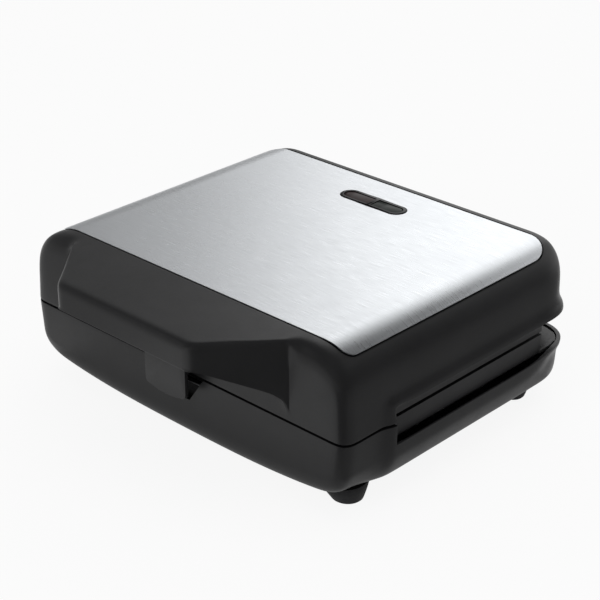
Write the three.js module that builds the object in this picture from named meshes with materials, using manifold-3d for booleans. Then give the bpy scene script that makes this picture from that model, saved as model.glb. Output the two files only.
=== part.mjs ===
// Sandwich and waffle maker: a countertop cooker with a hinged lid, drawn shut.
// Millimetres, +Z up. Inside the housing group X runs to the right, Y from the front wall backwards
// and Z up from the seam between base and lid. The whole stands on z = 0.

import * as THREE from "three";
import Module from "manifold-3d";
import { mergeVertices } from "three/addons/utils/BufferGeometryUtils.js";

const wasm = await Module();
wasm.setup();

// Housing
const bodyWidth = 255;
const bodyDepth = 203;
const seamHeight = 51;
const seamGap = 0.8;
const wall = 2.8;
const fit = 0.3;
const overrun = 20;
const frontCornerRadius = 8;
const backCornerRadius = 22;

// Lid shell
const lidHeight = 49.2;
const lidLean = 1.5;
const lidShoulderReach = 27.5;
const lidShoulderDrop = 27.2;
const shoulderReachShare = 0.62;
const shoulderDropShare = 0.59;
const lidEdgeRound = 7.4;
const lidEdgeRoundHeight = 10;

// Base shell
const baseDepthBelowSeam = 42;
const baseSag = 5.2;
const baseLean = 2.1;
const baseCornerReach = 18.4;
const baseCornerRise = 14.8;
const baseEdgeRound = 7.4;
const baseEdgeRoundHeight = 11;

// Open gap round the sides and the back
const gapFront = 42;
const baseRimDrop = 10.5;
const lidRimRise = 9.5;
const lipReach = 3;
const lidLipReach = 2.3;
const lipHeight = 4.6;
const lipRound = 1.4;
const rimThickness = 3.5;
const jambRadius = 4.4;
const innerCornerRadius = 1;

// Stainless top panel and its pilot light window
const panelThickness = 0.8;
const panelFront = 14;
const panelBackMargin = 9;
const panelSideMargin = 11.5;
const panelFrontRadius = 7;
const panelBackRadius = 19;
const panelGap = 0.8;
const windowLength = 46;
const windowWidth = 13;
const windowBackMargin = 37.2;
const bezelProud = 0.4;
const bezelFlange = 1.6;
const bezelFlangeThickness = 1.5;
const lensWidth = 7.4;
const lensDivider = 3;
const lensEndMargin = 2.6;
const lensDepth = 4;
const lampRadius = 2.5;
const lampLength = 7.5;
const lampHolderThickness = 2;
const lampHolderWidth = 9;

// Handle hood and latch
const handleReach = 40;
const handleRootHalf = 87.2;
const handleFrontHalf = 53;
const handleFrontHeight = 16.2;
const handleFrontRound = 4.5;
const handleCornerRadius = 5;
const handleEdgeRound = 2.4;
const handleWall = 3;
const flankNearWall = 6;
const flankNearWallDrop = 34;
const flankFootDrop = 44.8;
const latchHalfWidth = 16.5;
const latchBottomDrop = 13;
const latchBow = 1.6;
const latchThickness = 2.5;
const latchStandOff = 7;
const latchCornerRadius = 4;
const latchPivotHeight = 26;
const latchBarrelRadius = 3.8;
const latchBarrelHalf = 10;
const latchPinRadius = 1.5;
const latchLugThickness = 3;
const latchLugReach = 5;
const hookHeight = 2.5;
const hookHalfWidth = 8;
const springWire = 1;
const pocketTopHalf = 21;
const pocketBottomHalf = 9.3;
const pocketHeight = 17.5;
const pocketDepth = 4.6;
const pocketWall = 2;
const catchRadius = 1.5;
const catchDrop = 5.2;

// Inner frames
const frameFace = 0.45;
const skirtInset = 3.5;
const skirtFront = 8;
const skirtBackMargin = 28;
const skirtThickness = 2.2;
const deckDrop = 10.8;
const deckThickness = 2;
const deckGap = 1.2;
const frameFlange = 2.2;
const frameSideBorder = 11.3;
const frameFrontBorder = 13.7;
const frameBackBorder = 12.7;
const plateLedge = 3;
const plateLedgeThickness = 2;

// Cooking plates
const plateFace = 0.7;
const plateFlange = 3;
const plateWall = 2.6;
const plateEdge = 4;
const plateDivider = 6;
const waffleDepth = 8.6;
const waffleDraft = 1.6;
const pegHeight = 6;
const pegTop = 12.5;
const pegFoot = 15.5;
const pegColumns = 5;
const pegRows = 6;
const tabHalfWidth = 7;
const tabReach = 2.6;
const tabThickness = 1.8;
const tabPlace = 60;

// Plate clips
const clipHalfWidth = 12;
const clipDepth = 6.6;
const clipTravel = 4;
const clipNoseHalf = 6;
const clipNoseReach = 2.8;
const clipNoseThickness = 1.3;
const clipRail = 3;
const clipRailThickness = 1.5;
const clipLegDrop = 9.4;
const clipLegThickness = 3;
const clipSpringRadius = 2;

// Heaters under the plates
const elementRadius = 3.2;
const elementInset = 16;
const elementBend = 14;
const elementTailHalf = 20;
const elementTail = 12;
const elementPinRadius = 1.5;
const elementPinLength = 8;
const elementSteps = 64;
const elementSides = 4;
const panWall = 1;
const panDepth = 8;
const panInset = 9;
const panRimOverlap = 1;
const cradleHalfLength = 6;
const cradleHalfWidth = 5.5;

// Controls and wiring points in the base
const thermostatRadius = 9;
const thermostatHeight = 6;
const thermostatEarHalf = 14;
const thermostatEarThickness = 1.6;
const fuseRadius = 2.2;
const fuseLength = 22;
const fuseStrapHalf = 3;
const fusePlace = 35;
const blockHalfWidth = 20;
const blockDepth = 12;
const blockHeight = 10;
const blockBackGap = 9;
const blockTowerRadius = 3;
const blockTowerHeight = 3;
const blockTowers = 3;
const glandSideMargin = 67.5;
const glandDrop = 23.5;
const glandBore = 4;
const glandNeck = 6.2;
const glandFlange = 7.8;
const glandFlangeThickness = 2.4;

// Hinge
const hingeRise = 2;
const hingeBackInset = 5;
const hingePinRadius = 2;
const earRadius = 6;
const earThickness = 4.5;
const lugThickness = 13.4;
const hingeSideMargin = 41.5;
const earFrontReach = 5;
const earBackReach = 3.6;

// Screws and their posts
const screwShank = 1.6;
const screwHead = 3;
const screwHeadHeight = 2.2;
const screwLength = 16;
const screwSideMargin = 67.5;
const screwFront = 15.6;
const screwBackMargin = 17;
const screwSink = 3;
const postRadius = 3.8;
const bossRadius = 4.6;
const basePostEnd = 27;
const lidPostLength = 7.4;

// Feet
const footSideMargin = 23.5;
const footFront = 25;
const footBackMargin = 25;
const footTopRadius = 12;
const footBottomRadius = 7.6;
const footBottomRound = 1.4;
const footSeat = 9;

// Facets
const cornerFacets = 5;
const curveFacets = 9;
const roundFacets = 16;
const edgeFacets = 3;

// Colours and finishes
const satinBlack = { color: 0x24242a, roughness: 0.5, metalness: 0 };
const deepBlack = { color: 0x141416, roughness: 0.45, metalness: 0 };
const brushedSteel = { color: 0xb9bcbf, roughness: 0.32, metalness: 1 };
const nonStick = { color: 0x2b2b2d, roughness: 0.55, metalness: 0.2 };
const plainSteel = { color: 0xa8aaad, roughness: 0.35, metalness: 1 };
const brightAluminium = { color: 0xcfd1d3, roughness: 0.3, metalness: 1 };
const redLens = { color: 0x4a0f10, roughness: 0.15, metalness: 0 };
const greenLens = { color: 0x103a18, roughness: 0.15, metalness: 0 };
const paleCeramic = { color: 0xd8d2c4, roughness: 0.7, metalness: 0 };
const softRubber = { color: 0x1a1a1a, roughness: 0.8, metalness: 0 };

// Places that several pieces share
const halfWidth = bodyWidth / 2;
const halfSeam = seamGap / 2;
const panelSideReach = halfWidth - panelSideMargin;
const windowBack = bodyDepth - windowBackMargin;
const hingePlace = halfWidth - hingeSideMargin;
const screwPlace = halfWidth - screwSideMargin;
const glandPlace = halfWidth - glandSideMargin;
const footPlace = halfWidth - footSideMargin;
const footHeight = seamHeight - baseDepthBelowSeam + footSeat;
const pocketSlope = (pocketTopHalf - pocketBottomHalf) / (pocketHeight - halfSeam);
const skirtHalf = halfWidth - skirtInset;
const skirtBack = bodyDepth - skirtBackMargin;
const openingHalf = skirtHalf - frameSideBorder;
const openingFront = skirtFront + frameFrontBorder;
const openingBack = skirtBack - frameBackBorder;
const plateHalf = openingHalf - fit;
const plateFront = openingFront + fit;
const plateBack = openingBack - fit;
const plateMiddle = (plateFront + plateBack) / 2;
const plateFlangeBottom = plateFace + plateFlange;
const tubHalf = openingHalf - plateLedge - fit;
const tubFront = openingFront + plateLedge + fit;
const tubBack = openingBack - plateLedge - fit;
const tubBottom = plateFace + waffleDepth + plateWall;
const ledgeTop = plateFlangeBottom + fit;
const ledgeBottom = ledgeTop + plateLedgeThickness;
const deckBottom = deckDrop + deckThickness;
const seatLedge = deckBottom + fit;
const elementDrop = tubBottom + fit + elementRadius;
const panTop = seatLedge;
const panBottom = Math.max(elementDrop + elementRadius + fit + panWall, panTop + panDepth);
const hingeY = bodyDepth - hingeBackInset;
const latchY = -latchStandOff - latchThickness / 2;
const ceiling = lidHeight - wall;
const hoodCeiling = lidHeight - handleWall;
const screwBack = bodyDepth - screwBackMargin;

// Turns a closed three.js geometry into a solid that can be joined and cut.
function solid(geometry) {
  const bare = geometry.clone();
  bare.deleteAttribute("normal");
  bare.deleteAttribute("uv");
  const merged = mergeVertices(bare);
  const vertProperties = new Float32Array(merged.attributes.position.array);
  const triVerts = new Uint32Array(merged.index.array);
  return new wasm.Manifold(new wasm.Mesh({ numProp: 3, vertProperties, triVerts }));
}

// Turns a solid back into a geometry.
function geometryOf(body) {
  const mesh = body.getMesh();
  const geometry = new THREE.BufferGeometry();
  geometry.setAttribute("position", new THREE.BufferAttribute(new Float32Array(mesh.vertProperties), 3));
  geometry.setIndex(new THREE.BufferAttribute(new Uint32Array(mesh.triVerts), 1));
  geometry.computeVertexNormals();
  return geometry;
}

function joined(...bodies) {
  return bodies.reduce((sum, body) => sum.add(body));
}

function cut(body, ...tools) {
  return tools.reduce((rest, tool) => rest.subtract(tool), body);
}

function named(name, body, finish) {
  const mesh = new THREE.Mesh(geometryOf(body), new THREE.MeshStandardMaterial(finish));
  mesh.name = name;
  return mesh;
}

// A block between two corners.
function block(x0, x1, y0, y1, z0, z1) {
  const geometry = new THREE.BoxGeometry(x1 - x0, y1 - y0, z1 - z0);
  geometry.translate((x0 + x1) / 2, (y0 + y1) / 2, (z0 + z1) / 2);
  return solid(geometry);
}

// A block centred on the middle plane, from -half to half along X.
function wideBlock(half, y0, y1, z0, z1) {
  return block(-half, half, y0, y1, z0, z1);
}

// An outline in X and Y, raised from z0 to z1.
function raised(shape, z0, z1) {
  const geometry = new THREE.ExtrudeGeometry(shape, {
    depth: z1 - z0,
    bevelEnabled: false,
    curveSegments: cornerFacets,
  });
  geometry.translate(0, 0, z0);
  return solid(geometry);
}

// The same, with its top and bottom edges rounded inside the outline.
function raisedRound(shape, z0, z1, inward, height) {
  const geometry = new THREE.ExtrudeGeometry(shape, {
    depth: z1 - z0 - height * 2,
    bevelEnabled: true,
    bevelSize: inward,
    bevelOffset: -inward,
    bevelThickness: height,
    bevelSegments: edgeFacets,
    curveSegments: cornerFacets,
  });
  geometry.translate(0, 0, z0 + height);
  return solid(geometry);
}

// An outline in X and Z, carried from y0 to y1.
function alongY(shape, y0, y1) {
  const geometry = new THREE.ExtrudeGeometry(shape, {
    depth: y1 - y0,
    bevelEnabled: false,
    curveSegments: curveFacets,
  });
  geometry.rotateX(Math.PI / 2);
  geometry.translate(0, y1, 0);
  return solid(geometry);
}

// An outline in Y and Z, carried from x0 to x1.
function alongX(shape, x0, x1) {
  const geometry = new THREE.ExtrudeGeometry(shape, {
    depth: x1 - x0,
    bevelEnabled: false,
    curveSegments: curveFacets,
  });
  geometry.rotateX(Math.PI / 2);
  geometry.rotateZ(Math.PI / 2);
  geometry.translate(x0, 0, 0);
  return solid(geometry);
}

function rodX(radius, x0, x1, y, z) {
  const geometry = new THREE.CylinderGeometry(radius, radius, x1 - x0, roundFacets);
  geometry.rotateZ(-Math.PI / 2);
  geometry.translate((x0 + x1) / 2, y, z);
  return solid(geometry);
}

function rodY(radius, y0, y1, x, z) {
  const geometry = new THREE.CylinderGeometry(radius, radius, y1 - y0, roundFacets);
  geometry.translate(x, (y0 + y1) / 2, z);
  return solid(geometry);
}

function rodZ(radius, z0, z1, x, y) {
  const geometry = new THREE.CylinderGeometry(radius, radius, z1 - z0, roundFacets);
  geometry.rotateX(Math.PI / 2);
  geometry.translate(x, y, (z0 + z1) / 2);
  return solid(geometry);
}

// A closed profile in radius and height, turned round Z.
function turned(profile) {
  const geometry = new THREE.LatheGeometry(profile, roundFacets);
  geometry.rotateX(Math.PI / 2);
  return solid(geometry);
}

// A rectangle whose two front and two back corners are rounded.
function roundedPlan(half, y0, y1, frontRadius, backRadius) {
  const quarter = Math.PI / 2;
  const shape = new THREE.Shape();
  shape.moveTo(-half + frontRadius, y0);
  shape.lineTo(half - frontRadius, y0);
  shape.absarc(half - frontRadius, y0 + frontRadius, frontRadius, -quarter, 0, false);
  shape.lineTo(half, y1 - backRadius);
  shape.absarc(half - backRadius, y1 - backRadius, backRadius, 0, quarter, false);
  shape.lineTo(-half + backRadius, y1);
  shape.absarc(-half + backRadius, y1 - backRadius, backRadius, quarter, Math.PI, false);
  shape.lineTo(-half, y0 + frontRadius);
  shape.absarc(-half + frontRadius, y0 + frontRadius, frontRadius, Math.PI, Math.PI + quarter, false);
  return shape;
}

function bodyPlan(inset) {
  return roundedPlan(
    halfWidth - inset,
    inset,
    bodyDepth - inset,
    frontCornerRadius - inset,
    backCornerRadius - inset,
  );
}

// Moves every point of an open outline to its left by a distance, square to the outline there.
function movedLeft(points, distance) {
  return points.map((point, i) => {
    const before = points[Math.max(i - 1, 0)];
    const after = points[Math.min(i + 1, points.length - 1)];
    const along = after.clone().sub(before).normalize();
    return new THREE.Vector2(point.x - along.y * distance, point.y + along.x * distance);
  });
}

// Closes the right half of a front view, given from its side towards its middle, by points on the
// middle line, its mirror image and a straight line at the level where it starts.
function mirroredView(half, level, middle) {
  const right = [new THREE.Vector2(half[0].x, level), ...half.slice(1)];
  const left = right.map((point) => new THREE.Vector2(-point.x, point.y)).reverse();
  return [...right, ...middle, ...left];
}

// The point at a level on the straight line that a leaning side follows from the seam.
function sidePoint(side, level) {
  const share = level / side.y;
  return new THREE.Vector2(halfWidth + (side.x - halfWidth) * share, level);
}

// Front view of the lid, drawn in by an inset: leaning sides, soft shoulders and a flat top.
function lidView(inset, level) {
  const top = new THREE.Vector2(halfWidth - lidLean - lidShoulderReach, lidHeight);
  const side = new THREE.Vector2(halfWidth - lidLean, lidHeight - lidShoulderDrop);
  const curve = new THREE.CubicBezierCurve(
    side,
    new THREE.Vector2(side.x, side.y + lidShoulderDrop * shoulderDropShare),
    new THREE.Vector2(top.x + lidShoulderReach * shoulderReachShare, top.y),
    top,
  );
  const outline = [sidePoint(side, level), ...curve.getPoints(curveFacets)];
  return new THREE.Shape(mirroredView(movedLeft(outline, inset), level, []));
}

function lidForm(inset, level) {
  const across = alongY(lidView(inset, level), -overrun, bodyDepth + overrun);
  const plan = raisedRound(
    bodyPlan(inset),
    level - overrun,
    lidHeight - inset,
    lidEdgeRound - inset,
    lidEdgeRoundHeight - inset,
  );
  return across.intersect(plan);
}

// Front view of the base, drawn in by an inset: leaning sides, round corners and a sagging floor.
function baseView(inset, level) {
  const cornerX = halfWidth - baseLean - baseCornerReach;
  const cornerZ = -baseDepthBelowSeam + baseSag;
  const side = new THREE.Vector2(halfWidth - baseLean, cornerZ + baseCornerRise);
  const corner = new THREE.CubicBezierCurve(
    side,
    new THREE.Vector2(side.x - baseLean / 2, side.y - baseCornerRise * shoulderDropShare),
    new THREE.Vector2(cornerX + baseCornerReach * shoulderReachShare, cornerZ + baseSag / 4),
    new THREE.Vector2(cornerX, cornerZ),
  );
  const floor = new THREE.QuadraticBezierCurve(
    new THREE.Vector2(cornerX, cornerZ),
    new THREE.Vector2(cornerX / 2, -baseDepthBelowSeam),
    new THREE.Vector2(0, -baseDepthBelowSeam),
  );
  const outline = [
    sidePoint(side, level),
    ...corner.getPoints(curveFacets),
    ...floor.getPoints(curveFacets).slice(1, -1),
  ];
  const middle = new THREE.Vector2(0, -baseDepthBelowSeam + inset);
  return new THREE.Shape(mirroredView(movedLeft(outline, -inset), level, [middle]));
}

function baseForm(inset, level) {
  const across = alongY(baseView(inset, level), -overrun, bodyDepth + overrun);
  const plan = raisedRound(
    bodyPlan(inset),
    -baseDepthBelowSeam + inset,
    level + overrun,
    baseEdgeRound - inset,
    baseEdgeRoundHeight - inset,
  );
  return across.intersect(plan);
}

// The proud lip along an edge of the open gap, from z0 to z1, with its two front ends turned up or
// down as round jambs that run on to jambEnd.
function lip(reach, z0, z1, jambEnd) {
  const plan = roundedPlan(
    halfWidth + reach,
    0,
    bodyDepth + reach,
    frontCornerRadius,
    backCornerRadius + reach,
  );
  const band = raisedRound(plan, z0, z1, lipRound, lipRound);
  const behind = wideBlock(bodyWidth, gapFront, bodyDepth + overrun, z0, z1);
  const low = Math.min(z0 + lipRound, jambEnd);
  const high = Math.max(z1 - lipRound, jambEnd);
  const jambX = halfWidth + reach - jambRadius;
  const jambs = [-jambX, jambX].map((x) => rodZ(jambRadius, low, high, x, gapFront));
  return joined(band.intersect(behind), ...jambs);
}

// What the gap leaves free: the space behind its front posts, inside the rim.
function rimSpace(half, back, z0, z1) {
  const radius = backCornerRadius - (halfWidth - half);
  return raised(roundedPlan(half, gapFront, back, innerCornerRadius, radius), z0, z1);
}

// Where the four frame screws stand, each with whether it is one of the back pair.
function bossPlaces() {
  const sides = [-screwPlace, screwPlace];
  return sides.flatMap((x) => [[x, screwFront, false], [x, screwBack, true]]);
}

function baseShell() {
  const outer = baseForm(0, -halfSeam);
  const hollow = baseForm(wall, overrun).intersect(
    wideBlock(bodyWidth, 0, bodyDepth, -baseDepthBelowSeam, -seatLedge + fit),
  );
  const postSpace = wideBlock(halfWidth - wall, wall + fit, gapFront + wall, -seatLedge, overrun);
  const gapHalf = halfWidth + lipReach - rimThickness;
  const gapBack = bodyDepth + lipReach - rimThickness;
  const rims = lip(lipReach, -baseRimDrop - lipHeight, -baseRimDrop, -halfSeam);
  const aboveRim = wideBlock(bodyWidth, gapFront, bodyDepth + overrun, -baseRimDrop, overrun);
  const bosses = bossPlaces().map(([x, y]) =>
    rodZ(bossRadius, -baseDepthBelowSeam, -basePostEnd - fit, x, y).intersect(baseForm(0, 0)),
  );
  const wells = bossPlaces().flatMap(([x, y]) => [
    rodZ(screwShank + fit, -baseDepthBelowSeam - overrun, 0, x, y),
    rodZ(screwHead + fit, -baseDepthBelowSeam - overrun, baseScrewSeat(), x, y),
  ]);
  let shell = cut(joined(outer, rims), hollow, postSpace);
  shell = cut(shell, rimSpace(gapHalf, gapBack, -seatLedge, overrun), aboveRim);
  shell = joined(shell, ...bosses, pocketForm(pocketWall, -halfSeam, 0, pocketDepth + pocketWall));
  shell = cut(shell, pocketForm(0, wall, -overrun, pocketDepth), ...wells, catchHoles());
  return cut(shell, rodY(glandNeck + fit, bodyDepth / 2, bodyDepth + overrun, glandPlace, -glandDrop));
}

// Level of the shoulder that each base screw's head bears on.
function baseScrewSeat() {
  return -basePostEnd - fit - screwLength / 2;
}

// The catch pocket in the base's front wall, wide at the seam and narrow below, made larger by a
// margin, up to a top level and from y0 to y1.
function pocketForm(margin, top, y0, y1) {
  const topHalf = pocketTopHalf + margin + (top + halfSeam) * pocketSlope;
  const lowHalf = pocketBottomHalf + margin;
  const low = -pocketHeight - margin;
  const outline = [
    [-topHalf, top],
    [-lowHalf, low],
    [lowHalf, low],
    [topHalf, top],
  ].map(([x, z]) => new THREE.Vector2(x, z));
  return alongY(new THREE.Shape(outline), y0, y1);
}

function catchHoles() {
  const half = catchHalf();
  return rodX(catchRadius + fit, -half - fit, half + fit, pocketDepth / 2, -catchDrop);
}

// Half the catch bar's length: it reaches into the pocket's side walls.
function catchHalf() {
  return pocketTopHalf - pocketSlope * catchDrop + pocketWall / 2;
}

function catchBar() {
  const half = catchHalf();
  return rodX(catchRadius, -half, half, pocketDepth / 2, -catchDrop);
}

// Plan of the handle's hood, drawn in by an inset: a trapezoid with soft front corners.
function hoodPlan(inset) {
  const front = -handleReach + inset;
  const shape = new THREE.Shape();
  const slope = (handleRootHalf - handleFrontHalf) / handleReach;
  const lean = Math.hypot(slope, 1);
  const frontHalf = handleFrontHalf + slope * inset - lean * inset;
  const rootHalf = handleRootHalf - lean * inset;
  const back = panelFront + lidEdgeRound;
  const along = new THREE.Vector2(rootHalf - frontHalf, -front).normalize();
  shape.moveTo(-frontHalf + handleCornerRadius, front);
  shape.lineTo(frontHalf - handleCornerRadius, front);
  shape.quadraticCurveTo(
    frontHalf,
    front,
    frontHalf + along.x * handleCornerRadius,
    front + along.y * handleCornerRadius,
  );
  shape.lineTo(rootHalf, 0);
  shape.lineTo(rootHalf, back);
  shape.lineTo(-rootHalf, back);
  shape.lineTo(-rootHalf, 0);
  shape.lineTo(-frontHalf - along.x * handleCornerRadius, front + along.y * handleCornerRadius);
  shape.quadraticCurveTo(-frontHalf, front, -frontHalf + handleCornerRadius, front);
  return shape;
}

// Side view of the hood in Y and Z: a low front band, and flanks that droop towards the wall.
function hoodSide() {
  const front = -handleReach;
  const back = panelFront + lidEdgeRound;
  const bandBottom = lidHeight - handleFrontHeight;
  const shape = new THREE.Shape();
  shape.moveTo(back, lidHeight);
  shape.lineTo(front + handleFrontRound, lidHeight);
  shape.quadraticCurveTo(front, lidHeight, front, lidHeight - handleFrontRound);
  shape.lineTo(front, bandBottom);
  shape.lineTo(front + handleWall, bandBottom);
  shape.lineTo(-flankNearWall, lidHeight - flankNearWallDrop);
  shape.quadraticCurveTo(-flankNearWall / 4, lidHeight - flankNearWallDrop, 0, lidHeight - flankFootDrop);
  shape.lineTo(wall / 2, lidHeight - flankFootDrop);
  shape.lineTo(wall / 2, ceiling + fit);
  shape.lineTo(back, ceiling + fit);
  return shape;
}

function hood() {
  const plan = raisedRound(hoodPlan(0), -overrun, lidHeight, handleEdgeRound, handleEdgeRound);
  const side = alongX(hoodSide(), -bodyWidth, bodyWidth);
  return plan.intersect(side);
}

function hoodSpace() {
  const front = raised(hoodPlan(handleWall), -overrun, hoodCeiling);
  return front.intersect(wideBlock(bodyWidth, -handleReach, 0, -overrun, hoodCeiling));
}

// Ears under the hood that carry the latch pin.
function latchLugs() {
  const inner = latchHalfWidth + 2 * fit;
  const low = latchPivotHeight - latchLugReach;
  return [-1, 1].map((side) => {
    const x0 = Math.min(side * inner, side * (inner + latchLugThickness));
    return block(x0, x0 + latchLugThickness, latchY - latchLugReach, wall / 2, low, hoodCeiling + fit);
  });
}

// The area that the top panel covers, larger by a margin.
function panelPlan(margin) {
  return roundedPlan(
    panelSideReach + margin,
    panelFront - margin,
    bodyDepth - panelBackMargin + margin,
    panelFrontRadius + margin,
    panelBackRadius + margin,
  );
}

// A stadium in plan, centred on the pilot light window.
function stadium(length, width) {
  const radius = width / 2;
  return roundedPlan(length / 2, windowBack - radius, windowBack + radius, radius, radius);
}

function panelSkin(outside, inside) {
  const outer = alongY(lidView(outside, 0), -overrun, bodyDepth + overrun);
  const inner = alongY(lidView(inside, -overrun), -overrun * 2, bodyDepth + overrun * 2);
  return cut(outer, inner);
}

function topPanel() {
  const sheet = panelSkin(0, panelThickness).intersect(raised(panelPlan(0), 0, lidHeight + overrun));
  return cut(sheet, raised(stadium(windowLength, windowWidth), 0, lidHeight + overrun));
}

function lidShell() {
  const outer = lidForm(0, halfSeam);
  const inner = lidForm(wall, -overrun).intersect(
    wideBlock(bodyWidth, 0, bodyDepth, seatLedge - fit, lidHeight),
  );
  const postSpace = wideBlock(halfWidth - wall, wall + fit, gapFront + wall, -overrun, seatLedge);
  const sideWall = rimThickness + lidLipReach - lipReach;
  const gapHalf = halfWidth + lidLipReach - sideWall - wall / 2;
  const gapBack = bodyDepth - wall;
  const rims = lip(lidLipReach, lidRimRise, lidRimRise + lipHeight, halfSeam);
  const belowRim = wideBlock(bodyWidth, gapFront, bodyDepth + overrun, -overrun, lidRimRise);
  const recess = panelSkin(-overrun / 2, panelThickness + fit).intersect(
    raised(panelPlan(panelGap), 0, lidHeight + overrun),
  );
  const bosses = bossPlaces().map(([x, y, back]) => {
    const end = (back ? deckDrop : frameFace) + lidPostLength + fit;
    return rodZ(bossRadius, end, lidHeight, x, y).intersect(lidForm(wall / 2, 0));
  });
  const pilots = bossPlaces().map(([x, y, back]) => {
    const seat = (back ? deckDrop : frameFace) + screwSink + fit;
    return rodZ(screwShank + fit, 0, seat + screwLength + 2 * fit, x, y);
  });
  let shell = cut(joined(outer, rims), inner, postSpace, belowRim);
  shell = cut(shell, rimSpace(gapHalf, gapBack, -overrun, seatLedge));
  shell = joined(cut(joined(shell, hood()), cut(hoodSpace(), ...latchLugs())), ...bosses);
  shell = cut(shell, recess, raised(stadium(windowLength, windowWidth), 0, lidHeight + overrun));
  return cut(shell, ...pilots, latchPin(latchPinRadius + fit, fit));
}

function latchPin(radius, extra) {
  const half = latchHalfWidth + 2 * fit + latchLugThickness - fit + extra;
  return rodX(radius, -half, half, latchY, latchPivotHeight);
}

// Flap, barrel and hook in one moulding, hanging from the latch pin.
function latchFlap() {
  const top = latchPivotHeight - latchBarrelRadius - fit;
  const low = -latchBottomDrop;
  const shape = new THREE.Shape();
  shape.moveTo(-latchHalfWidth, top);
  shape.lineTo(-latchHalfWidth, low + latchCornerRadius + latchBow);
  shape.quadraticCurveTo(-latchHalfWidth, low + latchBow, -latchHalfWidth + latchCornerRadius, low + latchBow);
  shape.quadraticCurveTo(0, low - latchBow, latchHalfWidth - latchCornerRadius, low + latchBow);
  shape.quadraticCurveTo(latchHalfWidth, low + latchBow, latchHalfWidth, low + latchCornerRadius + latchBow);
  shape.lineTo(latchHalfWidth, top);
  const front = -latchStandOff - latchThickness;
  const flap = alongY(shape, front, -latchStandOff);
  const neck = wideBlock(latchBarrelHalf, front, -latchStandOff, top - fit, latchPivotHeight);
  const barrel = rodX(latchBarrelRadius, -latchBarrelHalf, latchBarrelHalf, latchY, latchPivotHeight);
  const hookTop = -catchDrop - catchRadius - fit;
  const hookTip = pocketDepth / 2 - catchRadius - 2 * fit;
  const hook = wideBlock(hookHalfWidth, -latchStandOff - fit, hookTip, hookTop - hookHeight, hookTop);
  const bore = rodX(latchPinRadius + fit, -bodyWidth, bodyWidth, latchY, latchPivotHeight);
  return cut(joined(flap, neck, barrel, hook), bore);
}

// The latch spring's coil, close wound round the pin beside the barrel.
function latchSpring() {
  const inner = latchPinRadius + 2 * fit;
  const outer = inner + springWire;
  const start = latchBarrelHalf + fit;
  const length = latchHalfWidth - start;
  const ring = turned([
    new THREE.Vector2(inner, 0),
    new THREE.Vector2(outer, 0),
    new THREE.Vector2(outer, length),
    new THREE.Vector2(inner, length),
    new THREE.Vector2(inner, 0),
  ]);
  const geometry = geometryOf(ring);
  geometry.rotateY(Math.PI / 2);
  geometry.translate(start, latchY, latchPivotHeight);
  return solid(geometry);
}

// An inner frame as it lies in the base: deck round the back, skirt, and the opening that carries
// a cooking plate. Depths below the seam are positive here and turned negative on use.
function innerFrame(deckHalf, deckBack) {
  const deckRadius = backCornerRadius - (halfWidth - deckHalf);
  const rearDeck = raised(
    roundedPlan(deckHalf, skirtBack - deckThickness, deckBack, innerCornerRadius, deckRadius),
    -deckBottom,
    -deckDrop,
  );
  const frontDeck = wideBlock(skirtHalf, wall + 2 * fit, skirtBack, -deckBottom, -deckDrop);
  const skirt = wideBlock(skirtHalf, skirtFront, skirtBack, -deckBottom, -frameFace);
  const skirtSpace = wideBlock(
    skirtHalf - skirtThickness,
    skirtFront + skirtThickness,
    skirtBack - skirtThickness,
    -deckBottom - overrun,
    -frameFace - frameFlange,
  );
  const ring = wideBlock(
    openingHalf + skirtThickness,
    openingFront - skirtThickness,
    openingBack + skirtThickness,
    -ledgeBottom,
    -frameFace,
  );
  const seat = wideBlock(openingHalf, openingFront, openingBack, -ledgeTop, overrun);
  const through = wideBlock(
    openingHalf - plateLedge,
    openingFront + plateLedge,
    openingBack - plateLedge,
    -overrun * 2,
    overrun,
  );
  const tabSlots = [-tabPlace, tabPlace].map((x) =>
    block(
      x - tabHalfWidth - fit,
      x + tabHalfWidth + fit,
      openingBack - fit,
      openingBack + tabReach + 2 * fit,
      -ledgeTop,
      -plateFlangeBottom + tabThickness + fit,
    ),
  );
  let frame = cut(joined(rearDeck, frontDeck, skirt), skirtSpace);
  frame = cut(joined(frame, ring), seat, through, ...tabSlots);
  return cut(frame, clipSlot());
}

// The slot in a frame's front border that a plate clip slides in.
function clipSlot() {
  const half = clipHalfWidth + fit;
  const front = openingFront - fit - clipDepth - clipTravel - fit;
  const slot = wideBlock(half, front, openingFront + fit, -clipRailBottom() - fit, overrun);
  const rails = wideBlock(
    half + clipRail,
    front,
    openingFront + fit,
    -clipRailBottom() - fit,
    -frameFace - frameFlange,
  );
  const leg = wideBlock(clipNoseHalf + fit, front, openingFront, -deckBottom - fit, overrun);
  return joined(slot, rails, leg);
}

function clipRailBottom() {
  return frameFace + frameFlange + fit + clipRailThickness;
}

// A plate clip as it lies in the base: a slider with a grip ridge, rails under the frame's flange
// and a nose over the plate's front edge.
function plateClip() {
  const back = openingFront - fit;
  const front = back - clipDepth;
  const railBottom = clipRailBottom();
  const slider = wideBlock(clipHalfWidth, front, back, -railBottom, -plateFace);
  const rails = wideBlock(
    clipHalfWidth + clipRail - fit,
    front,
    back,
    -railBottom,
    -railBottom + clipRailThickness,
  );
  const noseTop = -plateFace - fit;
  const nose = wideBlock(clipNoseHalf, front, back + clipNoseReach, noseTop - clipNoseThickness, noseTop);
  const leg = wideBlock(clipNoseHalf, back - clipLegThickness, back, -clipLegDrop, -railBottom + fit);
  const thumb = rodX(clipRailThickness / 2, -clipNoseHalf, clipNoseHalf, (front + back) / 2, -plateFace);
  return cut(joined(slider, rails, nose, leg), thumb);
}

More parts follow.
